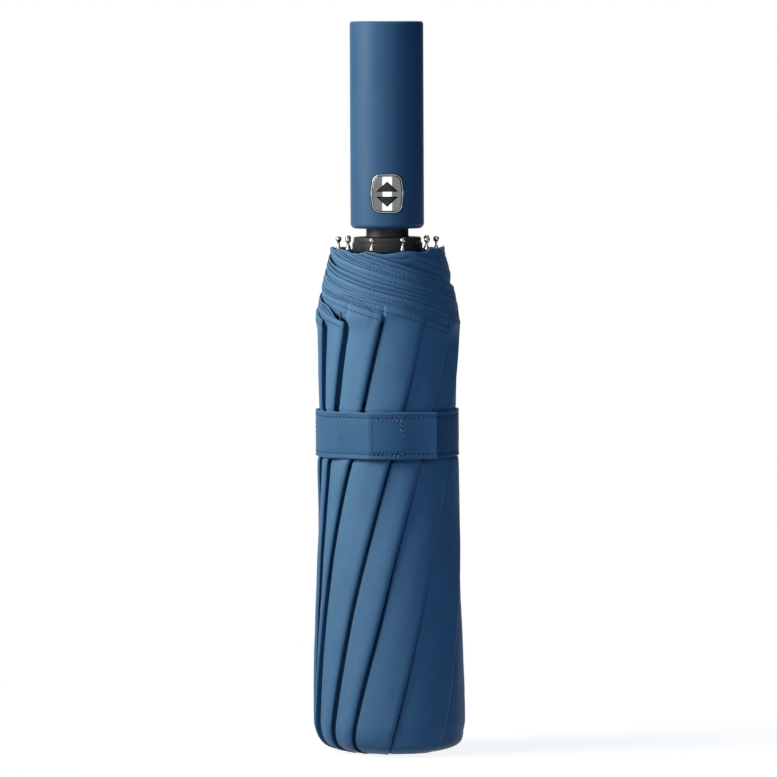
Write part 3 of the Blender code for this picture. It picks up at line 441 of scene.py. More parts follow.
def gapWidth(index, height):
    low, waist, high = pleats[index % len(pleats)]["gap"]
    upper, lower = (ease((height / mm - canopy[part][0]) / canopy[part][1])
                    for part in ("shoulder", "waist"))
    return low + (waist - low) * lower + (high - waist) * upper


def rootArc(value, wider):
    # the gap is widened, and the cloth between it and the pleat's middle moves up closer
    low, high = canopy["gapEnd"], canopy["rootEnd"]
    if value <= low:
        return value * wider
    return low * wider + (value - low) * (high - low * wider) / (high - low)


def pleatWidth(index, height, radius):
    return radians(edgeAngle(index, height) - edgeAngle(index - 1, height)) * radius


def middleSpan(width):
    # a narrow pleat's root and nose are scaled down; the middle lies between these two arcs
    scale = min(1.0, width / canopy["fullWidth"])
    return scale, canopy["rootEnd"] * scale, width - canopy["noseStart"] * scale


def columnPlace(column, radius, height):
    # arc from the pleat's left edge, its distance to the right edge, and the angle
    index, part, value, depth = column
    width = pleatWidth(index, height, radius)
    scale, start, stop = middleSpan(width)
    if part == "root":
        arc = scale * (value if value <= 0 else rootArc(value, gapWidth(index, height)))
    elif part == "middle":
        arc = start + (stop - start) * value
    else:
        arc = width - value * scale
    return arc, width - arc, edgeAngle(index - 1, height) + degrees(arc / radius), scale


straightOut = (1.0, 0.0)


def canopyPoint(column, radius, height, normal, share, outward=0.0):
    index, part, value, depth = column
    arc, toEdge, angle, scale = columnPlace(column, radius, height)
    fade = share * min(1.0, 0.35 + scale)
    past = (height - pleats[(index - 1) % len(pleats)]["corner"]) / mm
    if part == "middle" or (part == "root" and value > 0):
        # above its neighbour's hem the pleat has nothing to hide under, and comes out to the outline
        fade *= 1.0 - 0.92 * ease((past + 3.0) / 4.0)
    elif part == "root":
        fade *= 1.0 - 0.8 * ease((past + 1.0) / 3.0)
    low, high = canopy["pressed"]
    fade *= 1.0 - 0.6 * ease((height / mm - low) / 2.0) * ease((high - height / mm) / 2.0)
    billow = canopy["billow"] * wobble(index * 5.1 + arc * 90.0, height * 32.0, 3.0)
    billow += canopy["ripple"] * wobble(angle * 0.09, height * 95.0, 9.0)
    if part == "root":
        billow *= 0.5
    # the pleats to the right of the front belly out lower down, over the crown cap
    low, outer = ease((height / mm - 1.5) / 8.0), ease((radius / mm - 14.0) / 6.0)
    belly = canopy["belly"] * (1.0 - low) * outer
    radius += belly * ease((cos(radians(angle - canopy["bellyAngle"])) - 0.15) / 0.6)
    inset = depth * fade + billow * share - outward
    return around(angle, radius - inset * normal[0], max(height - inset * normal[1], 0.0)), arc


def hemShare(below):
    # the pleats grow flatter towards the hem's edge
    return 0.55 + 0.45 * ease((below - 0.5) / 5.0)


def makeCanopySkin():
    columns = pleatColumns()
    capEnd = run = canopy["capRuns"][-1]
    bodyRuns = []
    near, far = canopy["strapEdge"]
    while True:
        away = abs(smoothThrough(heightAlong, run) - bundle["strapHeight"] / mm - 1.0)
        beside = "strapStep" if near < away < far else "step"
        run += canopy["footStep" if run < canopy["footEnd"] else beside]
        if run > outlineCurve[-1][0] or smoothThrough(heightAlong, run) * mm > canopy["bodyTop"]:
            break
        bodyRuns.append(run)
    tops = []
    for column in columns:
        corner = pleats[column[0]]["corner"]
        toEdge = columnPlace(column, outlineRadius(corner), corner)[1]
        rounding = 0.5 * mm * max(0.0, 1.0 - toEdge / (0.8 * mm)) ** 2 if column[1] == "nose" else 0.0
        tops.append(corner + bundle["hemSlope"] * toEdge - rounding)
    points, uvs = [], []

    def addPoint(place, column, down, lowest=None):
        (x, y, z), arc = place
        points.append((x, y, z if lowest is None else max(z, lowest)))
        uvs.append((arc + column[0] * canopy["uvApart"], down))

    floor, risers = canopy["floor"], canopy["hemRisers"]
    for run in canopy["capRuns"] + bodyRuns:
        radius, height, normal = outlineRow(run)
        share = 0.1 + 0.9 * ease((run - 7.0) / 20.0)
        for column, top in zip(columns, tops):
            (x, y, z), arc = canopyPoint(column, radius, height, normal, share)
            addPoint(((x, y, floor if run <= capEnd else z), arc), column, top - height, floor)
    bodyEnd = smoothThrough(heightAlong, bodyRuns[-1]) * mm
    for step in range(1, risers + 1):
        for column, top in zip(columns, tops):
            height = bodyEnd + (top - canopy["hemRows"][0] * mm - bodyEnd) * step / (risers + 0.5)
            place = canopyPoint(column, outlineRadius(height), height, straightOut, 1.0)
            addPoint(place, column, top - height)
    for below in canopy["hemRows"]:
        swell = smoothThrough(canopy["hemSwell"], below) * mm
        for column, top in zip(columns, tops):
            height = top - below * mm
            under = column[1] == "nose" and column[3] > 0.6 * mm
            place = canopyPoint(column, outlineRadius(height), height, straightOut, hemShare(below),
                                -swell * 0.5 if under else swell)
            addPoint(place, column, below * mm)
    count = len(columns)
    skin = makeObject("canopySkin", points, ringFaces(len(points) // count, count), pongee, uvs)
    solidify = skin.modifiers.new("cloth", "SOLIDIFY")
    solidify.thickness = canopy["thickness"]
    solidify.offset = -1.0
    return settle(skin)


def roundNoise(angle, count, seed):
    # noise that closes on itself once round the shaft
    turn = radians(angle)
    return wobble(count * cos(turn), count * sin(turn), seed)


def rimHeight(angle):
    # the cloth stands highest at the rib tips, where it is sewn on, and dips between them
    wave = -cos(radians(bundle["ribCount"] * angle))
    saddle = -bundle["rimSaddle"] * cos(radians(2.0 * angle))
    ragged = bundle["rimRagged"] * roundNoise(angle, 4.0, 1.0)
    return bundle["rimHeight"] + bundle["rimWave"] * wave + saddle + ragged


# The hems of the folds underneath, which climb to the left round the bundle in bunches, one bunch
# above another, until they reach the rim. Lifts are how far each lies above its pleat's own hem.
hems = {
    "lifts": [0.0, 0.65, 1.3, 2.1, 3.1], "spread": 0.3, "wave": 0.5, "apart": 9.0, "step": 3.0,
    "inset": 0.3, "gather": 0.16, "stop": 7.2, "ragged": 0.6, "least": 0.45, "most": 5.0,
    "radius": 27.5, "seed": 41, "steps": 106,
    # profile of one hem from its fold downwards: share of the way to the hem below it, and how
    # far it stands out; the underside curls in behind that hem
    "curl": [(0.78, -0.06), (0.9, -0.2), (1.0, -0.45), (1.14, -0.8)], "tail": 2.2,
}
hemChance = random.Random(hems["seed"])
hemLifts = [[0.0] + [lift + hemChance.uniform(-1.0, 1.0) * hems["spread"]
                     for lift in hems["lifts"][1:]] for pleat in pleats]
seamPaths = []


def hemTop(index, layer, angle):
    # the hem's height with the rim's limit, and how far it would have gone on above the rim
    place = index % len(pleats)
    corner = pleats[place]["corner"]
    away = radians(edgeAngle(index, corner) - angle) * hems["radius"] * mm
    wave = hems["wave"] * mm * wobble(away * 60.0, place * 3.7, layer * 5.1)
    line = corner + bundle["hemSlope"] * away + wave * ease(away / (8.0 * mm))
    if layer:
        apart = ease((away - 2.0 * mm) / (hems["apart"] * mm))
        line += (hemLifts[place][layer] * apart - 0.6 * (1.0 - apart)) * mm
    rim = rimHeight(angle)
    rim += hems["ragged"] * mm * roundNoise(angle, 11.0, place * 2.3 + layer * 7.7)
    return min(line, rim), max(0.0, line - rim)


def hemProfile(span):
    # (down, out) pairs of one hem's outer face and its back, and its seam's place and fullness
    full = min(1.0, span / 2.5)
    seam = min(2.3, 0.55 * span)
    front = [(0.0, -0.14), (min(0.12, 0.08 * span), 0.0), (min(0.45, 0.25 * span), 0.14 * full),
             (seam - 0.2 * full, 0.08 * full), (seam, -0.06 * full), (seam + 0.22 * full, 0.04 * full)]
    front += [(share * span, out) for share, out in hems["curl"]]
    front.append((1.14 * span + hems["tail"], -1.1))
    return front + [(1.14 * span, -1.1), (span, -0.75), (0.7 * span, -0.35), (0.1, -0.4)], seam, full


def makeHemLayer(index, layer):
    last = len(hems["lifts"]) - 1
    below = (index, layer - 1) if layer else (index - 1, last)
    owner = index if layer else index - 1
    start = edgeAngle(owner, pleats[owner]["corner"]) + (-4.0 if layer else 4.0)
    sections, uvs, path = [], [], []
    run = 0.0
    for k in range(hems["steps"]):
        angle = start - hems["step"] * k
        top, beyond = hemTop(index, layer, angle)
        if beyond > hems["stop"] * mm:
            break
        span = (top - hemTop(*below, angle)[0]) / mm
        span = min(max(span, hems["least"]), hems["most"])
        base = outlineRadius(top) / mm - hems["inset"] - hems["gather"] * beyond / mm
        base += 0.1 * roundNoise(angle, 6.0, index + layer * 3.3)
        base -= (0.9 if layer else 1.3) * (1.0 - ease(k / 1.5))
        profile, seam, full = hemProfile(span)
        sections.append([around(angle, (base + out) * mm, top - down * mm) for down, out in profile])
        uvs += [(run + index * canopy["uvApart"], min(down / seam, 2.0) * bundle["hemSeam"])
                for down, out in profile]
        if span > 0.8 and beyond < 0.5 * mm and k > 1:
            path.append(around(angle, (base - 0.06 * full) * mm, top - seam * mm))
        elif path:
            seamPaths.append(path)
            path = []
        run += radians(hems["step"]) * hems["radius"] * mm
    seamPaths.append(path)
    return sweep(f"hemLayer{index}{layer}", sections, pongee, uvs)


def seamColumn(index, arc, width):
    # the column of a pleat that lies this far from its left side
    scale, start, stop = middleSpan(width)
    if arc < start:
        wider = pleats[index % len(pleats)]["gap"][2]
        low, high = canopy["gapEnd"], canopy["rootEnd"]
        value = arc / scale / wider
        if value > low:
            value = low + (arc / scale - low * wider) * (high - low) / (high - low * wider)
        return (index, "root", value, smoothThrough(canopy["root"], value / mm) * mm)
    if arc > stop:
        value = (width - arc) / scale
        nose = [(-a, depth) for a, depth in canopy["nose"][:6]]
        return (index, "nose", value, smoothThrough(nose, -value / mm) * mm)
    share = (arc - start) / (stop - start)
    return (index, "middle", share, smoothThrough(canopy["middle"], share) * mm)


def pleatSeam(index, steps=24):
    # the stitch line along the hem of an outer pleat
    corner = pleats[index]["corner"]
    width = pleatWidth(index, corner, outlineRadius(corner))
    path = []
    for k in range(steps + 1):
        toEdge = 0.7 * mm + (width - 1.7 * mm) * k / steps
        height = corner + bundle["hemSlope"] * toEdge - bundle["hemSeam"]
        column = seamColumn(index, width - toEdge, width)
        path.append(canopyPoint(column, outlineRadius(height), height, straightOut,
                                hemShare(bundle["hemSeam"] / mm), -0.02 * mm)[0])
    return path


innerFolds = {"outer": 22.4, "inner": 15.9, "halfWidth": 7.2, "top": 203.2, "bottom": 158.0,
              "thickness": 0.35, "levels": 9, "across": 25, "turn": 1.5, "deep": 1.4, "uneven": 0.4,
              "sway": 1.2, "wind": 4.0, "dip": 1.5, "weave": 0.8 * mm, "seed": 5}
foldChance = random.Random(innerFolds["seed"])


def makeInnerFold(gap):
    # between two ribs the cloth is folded in towards the shaft: one hairpin of cloth for each gap
    look = innerFolds
    centre = gap * 360.0 / bundle["ribCount"] + foldChance.uniform(-look["turn"], look["turn"])
    inner = look["inner"] + foldChance.uniform(0.0, look["deep"])
    sections, marks = [], []
    for level in range(look["levels"]):
        share = level / (look["levels"] - 1)
        height = look["bottom"] + (look["top"] - look["bottom"]) * share
        height += foldChance.uniform(-look["uneven"], look["uneven"]) * share
        track = []
        for k in range(look["across"]):
            t = k / (look["across"] - 1) * 2.0 - 1.0
            radius = inner + (look["outer"] - inner) * abs(t) ** 1.5
            angle = centre + copysign(look["halfWidth"] * abs(t) ** 0.45, t)
            angle += look["sway"] * sin(radius * 0.7 + gap) + look["wind"] * (share - 1.0)
            track.append((angle, radius, height - look["dip"] * (1.0 - abs(t)) ** 2))
        near, far = ([around(a, (r + out) * mm, h * mm) for a, r, h in track]
                     for out in (0.0, look["thickness"]))
        sections.append(near + far[::-1])
        marks += [(k * look["weave"], (look["top"] - height) * mm) for k in range(len(sections[0]))]
    return sweep(f"innerFold{gap}", sections, pongee, marks)


def clothArea(piece):
    # flat area of the cloth in a thin closed piece: half of its surface
    return sum(polygon.area for polygon in piece.data.polygons) / 2.0


skin = makeCanopySkin()
layers = [makeHemLayer(index, layer) for index in range(len(pleats))
          for layer in range(len(hems["lifts"]))]
seamPaths += [pleatSeam(index) for index in range(len(pleats))]
folds = [makeInnerFold(gap) for gap in range(bundle["ribCount"])]
for piece in (joinPieces("canopy_cloth", [skin] + folds), joinPieces("hem_folds", layers)):
    piece.data.shade_smooth()
    area = clothArea(piece)
    side = sqrt(area) * 1.001
    assign(piece, "furled_bundle", "canopy_cloth", "canopy")
    print(piece.name, len(piece.data.polygons), "faces")


def newTree(name, given, wanted, made):
    # an empty geometry tree with its named inputs, and their identifiers
    tree = bpy.data.node_groups.new(name, "GeometryNodeTree")
    tree.is_modifier = True
    tree.interface.new_socket(given, in_out="INPUT", socket_type="NodeSocketGeometry")
    sockets = {}
    for label, kind, value in wanted:
        socket = tree.interface.new_socket(label, in_out="INPUT", socket_type="NodeSocket" + kind)
        if value is not None:
            socket.default_value = value
        sockets[label] = socket.identifier
    tree.interface.new_socket(made, in_out="OUTPUT", socket_type="NodeSocketGeometry")
    return tree, sockets


def runTree(piece, made, settings):
    tree, sockets = made
    modifier = piece.modifiers.new(tree.name, "NODES")
    modifier.node_group = tree
    for key, value in settings.items():
        modifier[sockets[key]] = value
    return settle(piece)


# Stitches, set along seam lines by geometry nodes
def stitchTree():
    tree, sockets = newTree("stitches along a seam", "Seams", (
        ("Pitch", "Float", 1.55 * mm), ("Stitch length", "Float", 1.0 * mm),
        ("Thread width", "Float", 0.3 * mm), ("Unevenness", "Float", 0.15),
        ("Lift", "Float", 0.02 * mm), ("Phase", "Float", 0.0), ("Flatness", "Float", 1.0),
        ("Seed", "Int", 3), ("Thread", "Material", None)), "Stitches")
    add = partial(addNode, tree)
    given = add("NodeGroupInput").outputs
    curve = add("GeometryNodeMeshToCurve", {"Mesh": given["Seams"]})
    spaced = add("GeometryNodeResampleCurve", {"Curve": curve, "Length": given["Pitch"]}, mode="LENGTH")
    # lifted straight away from the shaft, and shifted along the seam by the phase
    spot = add("ShaderNodeSeparateXYZ", {"Vector": add("GeometryNodeInputPosition")})
    level = add("ShaderNodeCombineXYZ", {"X": spot.outputs["X"], "Y": spot.outputs["Y"]})
    outward = add("ShaderNodeVectorMath", {0: level}, operation="NORMALIZE")
    lift = add("ShaderNodeVectorMath", {0: outward, "Scale": given["Lift"]}, operation="SCALE")
    tangent = add("GeometryNodeInputTangent")
    further = add("ShaderNodeMath", {0: given["Pitch"], 1: given["Phase"]}, operation="MULTIPLY")
    shifted = add("ShaderNodeVectorMath", {0: tangent, "Scale": further}, operation="SCALE")
    moved = add("ShaderNodeVectorMath", {0: lift, 1: shifted}, operation="ADD")
    raised = add("GeometryNodeSetPosition", {"Geometry": spaced, "Offset": moved})
    along = add("FunctionNodeAlignRotationToVector", {"Vector": tangent}, axis="X")
    facing = add("FunctionNodeAlignRotationToVector", {"Rotation": along, "Vector": outward},
                 axis="Z", pivot_axis="X")
    least = add("ShaderNodeMath", {0: 1.0, 1: given["Unevenness"]}, operation="SUBTRACT")
    size = add("FunctionNodeRandomValue", {2: least, 3: 1.0, "Seed": given["Seed"]}, data_type="FLOAT")
    ball = add("GeometryNodeMeshUVSphere", {"Segments": 6, "Rings": 4, "Radius": 0.5})
    flat = add("ShaderNodeMath", {0: given["Thread width"], 1: given["Flatness"]}, operation="MULTIPLY")
    shape = add("ShaderNodeCombineXYZ", {"X": given["Stitch length"], "Y": given["Thread width"],
                                         "Z": flat})
    stitch = add("GeometryNodeTransform", {"Geometry": ball, "Scale": shape})
    laid = add("GeometryNodeInstanceOnPoints", {
        "Points": raised, "Instance": stitch, "Rotation": facing, "Scale": size})
    real = add("GeometryNodeRealizeInstances", {"Geometry": laid})
    smooth = add("GeometryNodeSetShadeSmooth", {"Geometry": real})
    sewn = add("GeometryNodeSetMaterial", {"Geometry": smooth, "Material": given["Thread"]})
    add("NodeGroupOutput", {"Stitches": sewn})
    return tree, sockets


stitches = stitchTree()


def sewn(name, paths, settings):
    points, edges = [], []
    for path in paths:
        if len(path) > 1:
            first = len(points)
            points += path
            edges += [(first + k, first + k + 1) for k in range(len(path) - 1)]
    mesh = bpy.data.meshes.new(name)
    mesh.from_pydata(points, edges, [])
    return runTree(putIn(name, mesh), stitches, settings)


def sew(name, paths, holeShadeSize, pitch, length, width, seed, material, **more):
    # the stitches, and between them dark flat spots of painted shade for the needle's holes; sizes in
    # mm
    settings = {"Pitch": pitch * mm, "Stitch length": length * mm, "Thread width": width * mm,
                "Seed": seed, "Thread": material}
    settings.update({key.capitalize(): value for key, value in more.items()})
    holeShades = dict(settings, **{
        "Phase": 0.5, "Stitch length": holeShadeSize * mm, "Thread width": holeShadeSize * mm * 0.9, "Flatness": 0.3,
        "Lift": -0.01 * mm, "Thread": paintedHoleShade})
    return joinPieces(name, [sewn(name, paths, settings), sewn(name + "_hole_shades", paths, holeShades)])


hemStitches = sew("hem_stitches", seamPaths, 0.5, 1.6, 1.0, 0.32, 12, thread, lift=0.04 * mm,
                  unevenness=0.25)
assign(hemStitches, "furled_bundle", "canopy_cloth")
print("hem stitches", len(hemStitches.data.polygons), "faces")

# Strap: a doubled band round the bundle, and its free end which closes over it
strap = {
    "width": 19.1, "thickness": 0.6, "centre": bundle["strapHeight"] / mm + 1.0, "innerRadius": 28.487,
    "outerRadius": 30.637, "rise": (316.0, 345.0), "start": -32.0, "lap": 262.0, "bandEnd": 270.0,
    "end": 397.3, "corner": 1.3, "seam": 7.4, "leaves": 376.0,
    "step": 1.5, "turn": 30.6, "bend": (-17.0, -11.0), "bendRadius": 30.9 * mm, "wave": 0.14,
    "sag": 0.25, "ripple": 0.05, "textureRadius": 30.0 * mm, "lapped": 0.66,
    # how far and over how many degrees the free end stands off, and how its last edge turns down
    "springOff": 0.85, "springSpan": 21.0, "droop": 1.3, "droopSpan": 1.1,
    "box": (347.6, 371.5),          # the stitched box over the hook tape, which the photograph shows
}


def strapPoint(angle, radius, level):
    # the whole band wanders a little in and out, and up and down
    wave = strap["wave"] * wobble(angle * 0.06, 2.0, 5.0)
    sag = strap["sag"] * wobble(angle * 0.035, 8.0, 5.0)
    return around(angle, (radius + wave) * mm, (strap["centre"] + level + sag) * mm)


def strapSection(angle, inner, half, thickness):
    # one section of the band, from its lower edge up the outer face and down the inner one
    seam = min(strap["seam"], half * 0.8)
    profile = [(-half, 0.5), (-half + 0.08, 0.95), (-half + 0.35, 1.35), (-half + 0.9, 1.05),
               (-seam - 0.45, 0.95), (-seam, 0.78), (-seam + 0.5, 0.95), (-half * 0.45, 1.0),
               (0.0, 1.03), (half * 0.45, 1.0), (seam - 0.5, 0.95), (seam, 0.78), (seam + 0.45, 0.95),
               (half - 0.9, 0.96), (half - 0.4, 1.25), (half - 0.12, 0.95), (half, 0.5),
               (half - 0.1, 0.12), (half - 0.4, 0.0), (0.0, 0.0), (-half + 0.4, 0.0),
               (-half + 0.1, 0.12)]
    section = []
    for level, share in profile:
        ripple = strap["ripple"] * wobble(angle * 0.2, level * 0.35, 1.0) if share > 0.6 else 0.0
        section.append(strapPoint(angle, inner + thickness * share + ripple, level))
    along = radians(angle) * strap["textureRadius"]
    return section, [(along, level * mm) for level, share in profile]


def makeStrapPiece(name, start, end, innerRadius, roundedEnd):
    sections, marks = [], []
    steps = int((end - start) / strap["step"])
    angles = [start + (end - start) * k / steps for k in range(steps + 1)]
    if roundedEnd:
        angles = [a for a in angles if a < end - 2.6]
        angles += [end - short for short in (2.6, 2.0, 1.3, 0.7, 0.25, 0.05)]
    for angle in angles:
        half, thickness, droop = strap["width"] / 2, strap["thickness"], 0.0
        if roundedEnd:
            left = radians(end - angle) * strap["turn"]
            if left < strap["corner"]:
                half -= strap["corner"] - sqrt(strap["corner"] ** 2 - (strap["corner"] - left) ** 2)
            thickness *= 0.55 + 0.45 * ease(left / 0.35) + 0.4 * exp(-((left - 0.75) / 0.4) ** 2)
            droop = strap["droop"] * max(0.0, 1.0 - left / strap["droopSpan"]) ** 2
        section, mark = strapSection(angle, innerRadius(angle) - droop, half, thickness)
        sections.append(section)
        marks += mark
    return sweep(name, sections, strapPongee, marks)


def bandRadius(angle):
    return strap["innerRadius"]


def closureRadius(angle):
    # drawn straight up to the edge of the patches, round them, and off straight to the free end
    low, high = strap["rise"]
    lapped, outer = strap["innerRadius"] + strap["lapped"], strap["outerRadius"]
    if angle <= low:
        return lapped
    if angle < high:
        a, b, here = (radians(v) for v in (low, high, angle))
        across = (outer * cos(b) - lapped * cos(a), outer * sin(b) - lapped * sin(a))
        return lapped * outer * sin(b - a) / (cos(here) * across[1] - sin(here) * across[0])
    off = max(0.0, angle - strap["leaves"])
    return outer / cos(radians(off)) + strap["springOff"] * (off / strap["springSpan"]) ** 2


def strapLine(start, end, level, radiusOf, step=2.0):
    # along the strap; in the seam's groove the thread lies deeper
    count = max(2, int(abs(end - start) / step))
    lift = strap["thickness"] * (0.8 if abs(abs(level) - strap["seam"]) < 0.3 else 1.0) + 0.05
    angles = [start + (end - start) * k / count for k in range(count + 1)]
    return [strapPoint(angle, radiusOf(angle) + lift, level) for angle in angles]


def strapColumn(angle, low, high, count=10, lean=0.0):
    # across the closure
    lift = strap["thickness"] + 0.06
    angles = [angle + lean * k / count for k in range(count + 1)]
    return [strapPoint(here, closureRadius(here) + lift, low + (high - low) * k / count)
            for k, here in enumerate(angles)]


def zigzag(start, end, low, high, teeth):
    return [strapColumn(start + (end - start) * k / (teeth * 2), low if k % 2 else high, 0.0)[0]
            for k in range(teeth * 2 + 1)]


seam, lap, (boxStart, boxEnd) = strap["seam"], strap["lap"], strap["box"]
strapBand = makeStrapPiece("strap_band", strap["start"], strap["bandEnd"], bandRadius, False)
strapClosure = makeStrapPiece("strap_closure", lap, strap["end"], closureRadius, True)
bandStitches = sew("strap_band_stitches", [
    strapLine(strap["start"], lap - 1.0, level, bandRadius) for level in (-seam, seam)],
    0.5, 1.8, 1.1, 0.32, 4, paintedShadeThread)
closureStitches = sew("strap_closure_stitches", [
    strapLine(lap + 1.0, strap["end"] - 3.0, level, closureRadius) for level in (-seam, seam)] + [
    strapColumn(lap + beside, -seam, seam) for beside in (1.6, 4.2)],
    0.6, 1.8, 1.1, 0.32, 9, paintedShadeThread)
boxSeam = sew("strap_box_seam", [
    strapColumn(boxStart, -seam, seam),
    strapLine(boxStart, boxEnd - 1.0, seam - 0.15, closureRadius, 1.0),
    zigzag(boxStart, boxEnd, -seam - 0.6, -seam + 1.4, 9)],
    0.6, 1.5, 0.95, 0.38, 21, paintedShadeThread, unevenness=0.35)
boxStitches = sew("strap_box_stitches", [
    strapLine(boxStart + 1.0, boxEnd - 2.0, seam - 1.0, closureRadius, 1.0),
    strapColumn(boxEnd, 0.5, seam, 8, -1.5),
    strapColumn(boxEnd - 2.0, 2.5, seam - 1.0, 8, 1.0),
    strapLine(boxStart + 13.0, boxEnd - 4.0, -seam - 0.7, closureRadius, 1.0)],
    0.55, 1.5, 0.95, 0.38, 22, paintedHighlightThread, unevenness=0.35, lift=0.06 * mm)
patch = {"angles": (-11.0, 13.0), "half": 8.55, "thickness": 0.4, "across": 48, "high": 34,
         "loopRadius": 29.337, "hookRadius": 29.987}


def pilePatch(name, radius, seed):
    # a curved pad of nylon tape with its pile standing up unevenly on the outer face
    chance = random.Random(seed)
    (low, up), half = patch["angles"], patch["half"]
    sections = []
    for k in range(patch["across"] + 1):
        angle = low + (up - low) * k / patch["across"]
        section = []
        for j in range(patch["high"] + 1):
            flat = k in (0, patch["across"]) or j in (0, patch["high"])
            pile = 0.0 if flat else chance.uniform(-0.1, 0.03)
            section.append(around(angle, (radius + patch["thickness"] + pile) * mm,
                                  (strap["centre"] - half + 2 * half * j / patch["high"]) * mm))
        section += [around(angle, radius * mm, (strap["centre"] + level) * mm)
                    for level in (half, 0.0, -half)]
        sections.append(section)
    return sharpen(sweep(name, sections, hookTape), 60.0)


for side, body, seed in (("loop", "furled_bundle", 31), ("hook", "strap_end", 32)):
    pad = pilePatch(side + "_patch", patch[side + "Radius"], seed)
    assign(pad, body, "hook_and_loop", f"strap_{side}_patch")
assign(strapBand, "furled_bundle", "strap_cloth", "strap")
assign(bandStitches, "furled_bundle", "strap_cloth")
assign(strapClosure, None, "strap_cloth", "strap_tab")
for piece in (closureStitches, boxSeam, boxStitches):
    assign(piece, None, "strap_cloth")
for piece in (strapClosure, closureStitches, boxSeam, boxStitches):
    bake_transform(piece)
for piece in (strapBand, strapClosure):
    area = clothArea(piece)
print("strap made")


# Turned pieces of the handle, runner, crown cap and shaft
def turnedPiece(name, profile, material, sides=96):
    # a profile of (radius, height) in mm, turned round the shaft; radius 0 is a pole
    points, rings = [], []
    for radius, height in profile:
        count = sides if radius > 0 else 1
        rings.append(list(range(len(points), len(points) + count)))
        points += [around(360.0 * k / sides, radius * mm, height * mm) for k in range(count)]
    faces = []
    for low, high in zip(rings, rings[1:] + rings[:1]):
        if len(low) == 1 and len(high) == 1:
            continue
        for k in range(sides):
            quad = [low[k % len(low)], low[(k + 1) % len(low)], high[(k + 1) % len(high)],
                    high[k % len(high)]]
            faces.append(tuple(v for i, v in enumerate(quad) if v not in quad[:i]))
    return sharpen(outwards(makeObject(name, points, faces, material)))


def arcPoints(x, z, radius, start, stop, steps):
    angles = [radians(start + (stop - start) * k / steps) for k in range(steps + 1)]
    return [(x + radius * cos(angle), z + radius * sin(angle)) for angle in angles]


button = {"width": 11.6, "height": 13.8, "corner": 2.6, "bulge": 0.5, "swell": 0.475,
          "leastCorner": 0.15, "centre": 230.0, "face": 15.7, "bezel": 15.22, "back": 11.2}


def barrel(margin, steps=10, sideSteps=12):
    # the button's outline with rounded corners and slightly swelling sides, grown by a margin
    halfWidth = button["width"] / 2 - button["bulge"] + margin
    halfHeight = button["height"] / 2 + margin
    corner = max(button["corner"] + margin, button["leastCorner"])
    rise, run = halfHeight - corner, halfWidth - corner
    side = []
    for k in range(1, sideSteps):
        level = -rise + 2 * rise * k / sideSteps
        side.append((halfWidth + button["swell"] * cos(pi / 2 * level / rise), level))
    rounded = arcPoints(run, rise, corner, 0, 90, steps)
    top = [(run - 2 * run * k / sideSteps, halfHeight) for k in range(1, sideSteps)]
    upper = side + rounded + top + [(-x, z) for x, z in reversed(side + rounded)]
    lowerCorner = [(x, -z) for x, z in reversed(rounded)]
    bottom = [(-x, -z) for x, z in top]
    return upper + [(-x, z) for x, z in reversed(lowerCorner)] + bottom + lowerCorner


def onFlat(x, z, depth):
    return (x * mm, -depth * mm, (button["centre"] + z) * mm)


def onDrum(x, z, radius):
    return onFlat(x, z, sqrt(max(radius * radius - x * x, 0.0)))


def buttonRing(margin, place, depth):
    return [place(x, z, depth) for x, z in barrel(margin)]


def loopPiece(name, loops, material, closed, cap=()):
    # rings of equal length joined in order; cap names the rings that are filled
    points = [point for loop in loops for point in loop]
    count = len(loops[0])
    faces = ringFaces(len(loops), count, closed)
    for ring in cap:
        first = (ring % len(loops)) * count
        faces.append(tuple(range(first, first + count)))
    return sharpen(outwards(makeObject(name, points, faces, material)), 40.0)


handle = {"radius": 15.1, "mouth": 215.5, "end": 300.3, "bore": 13.5, "mouthRounding": 2.0,
          "endRounding": 1.2, "wall": 2.0, "window": 1.25}


def makeHandle():
    outer, low, high, bore = (handle[key] for key in ("radius", "mouth", "end", "bore"))
    mouth, end, inside = handle["mouthRounding"], handle["endRounding"], high - handle["wall"]
    profile = arcPoints(outer - mouth, low + mouth, mouth, -90, 0, 8)
    profile += [(outer, low + 20.0), (outer, low + 50.0)]
    profile += arcPoints(outer - end, high - end, end, 0, 90, 8)
    profile += [(8.0, high), (0.0, high), (0.0, inside), (bore, inside), (bore, low + 0.5),
                (bore + 0.3, low)]
    shell = turnedPiece("handle_body", profile, softTouch, 128)
    window = loopPiece("windowCutter", [buttonRing(handle["window"], onFlat, depth)
                                        for depth in (20.0, 8.0)], softTouch, False, (0, -1))
    cut = shell.modifiers.new("window", "BOOLEAN")
    cut.operation = "DIFFERENCE"
    cut.solver = "EXACT"
    cut.object = window
    settle(shell)
    bpy.data.objects.remove(window, do_unlink=True)
    return sharpen(shell)


# The rim stands on the handle's drum and reaches straight back: (margin, how far out) on the drum
rimFace = [(1.0, -0.16), (0.96, -0.02), (0.88, 0.08), (0.74, 0.13), (0.6, 0.08), (0.46, -0.02),
           (0.38, -0.16)]
faceEdge = [(0.3, -0.32), (0.27, -0.14), (0.19, -0.03), (0.08, 0.0), (0.02, 0.0), (-2.4, 0.0)]


def buttonLoops(edge, radius):
    # a ring straight behind the edge's first point, and a ring on the drum for each point
    return [buttonRing(edge[0][0], onFlat, button["back"])] + [
        buttonRing(margin, onDrum, radius + out) for margin, out in edge]


handleBody = makeHandle()
bezelLoops = buttonLoops(rimFace, button["bezel"])
bezelLoops.append(buttonRing(rimFace[-1][0], onFlat, button["back"]))
bezelRim = loopPiece("button_rim", bezelLoops, bezelChrome, True)
faceLoops = buttonLoops(faceEdge, button["face"])
faceLoops += [[onDrum(x * shrink, z * shrink, button["face"]) for x, z in barrel(faceEdge[-1][0])]
              for shrink in (0.7, 0.424, 0.159)]
buttonFace = loopPiece("button_cap", faceLoops, chromedAbs, False, (0, -1))

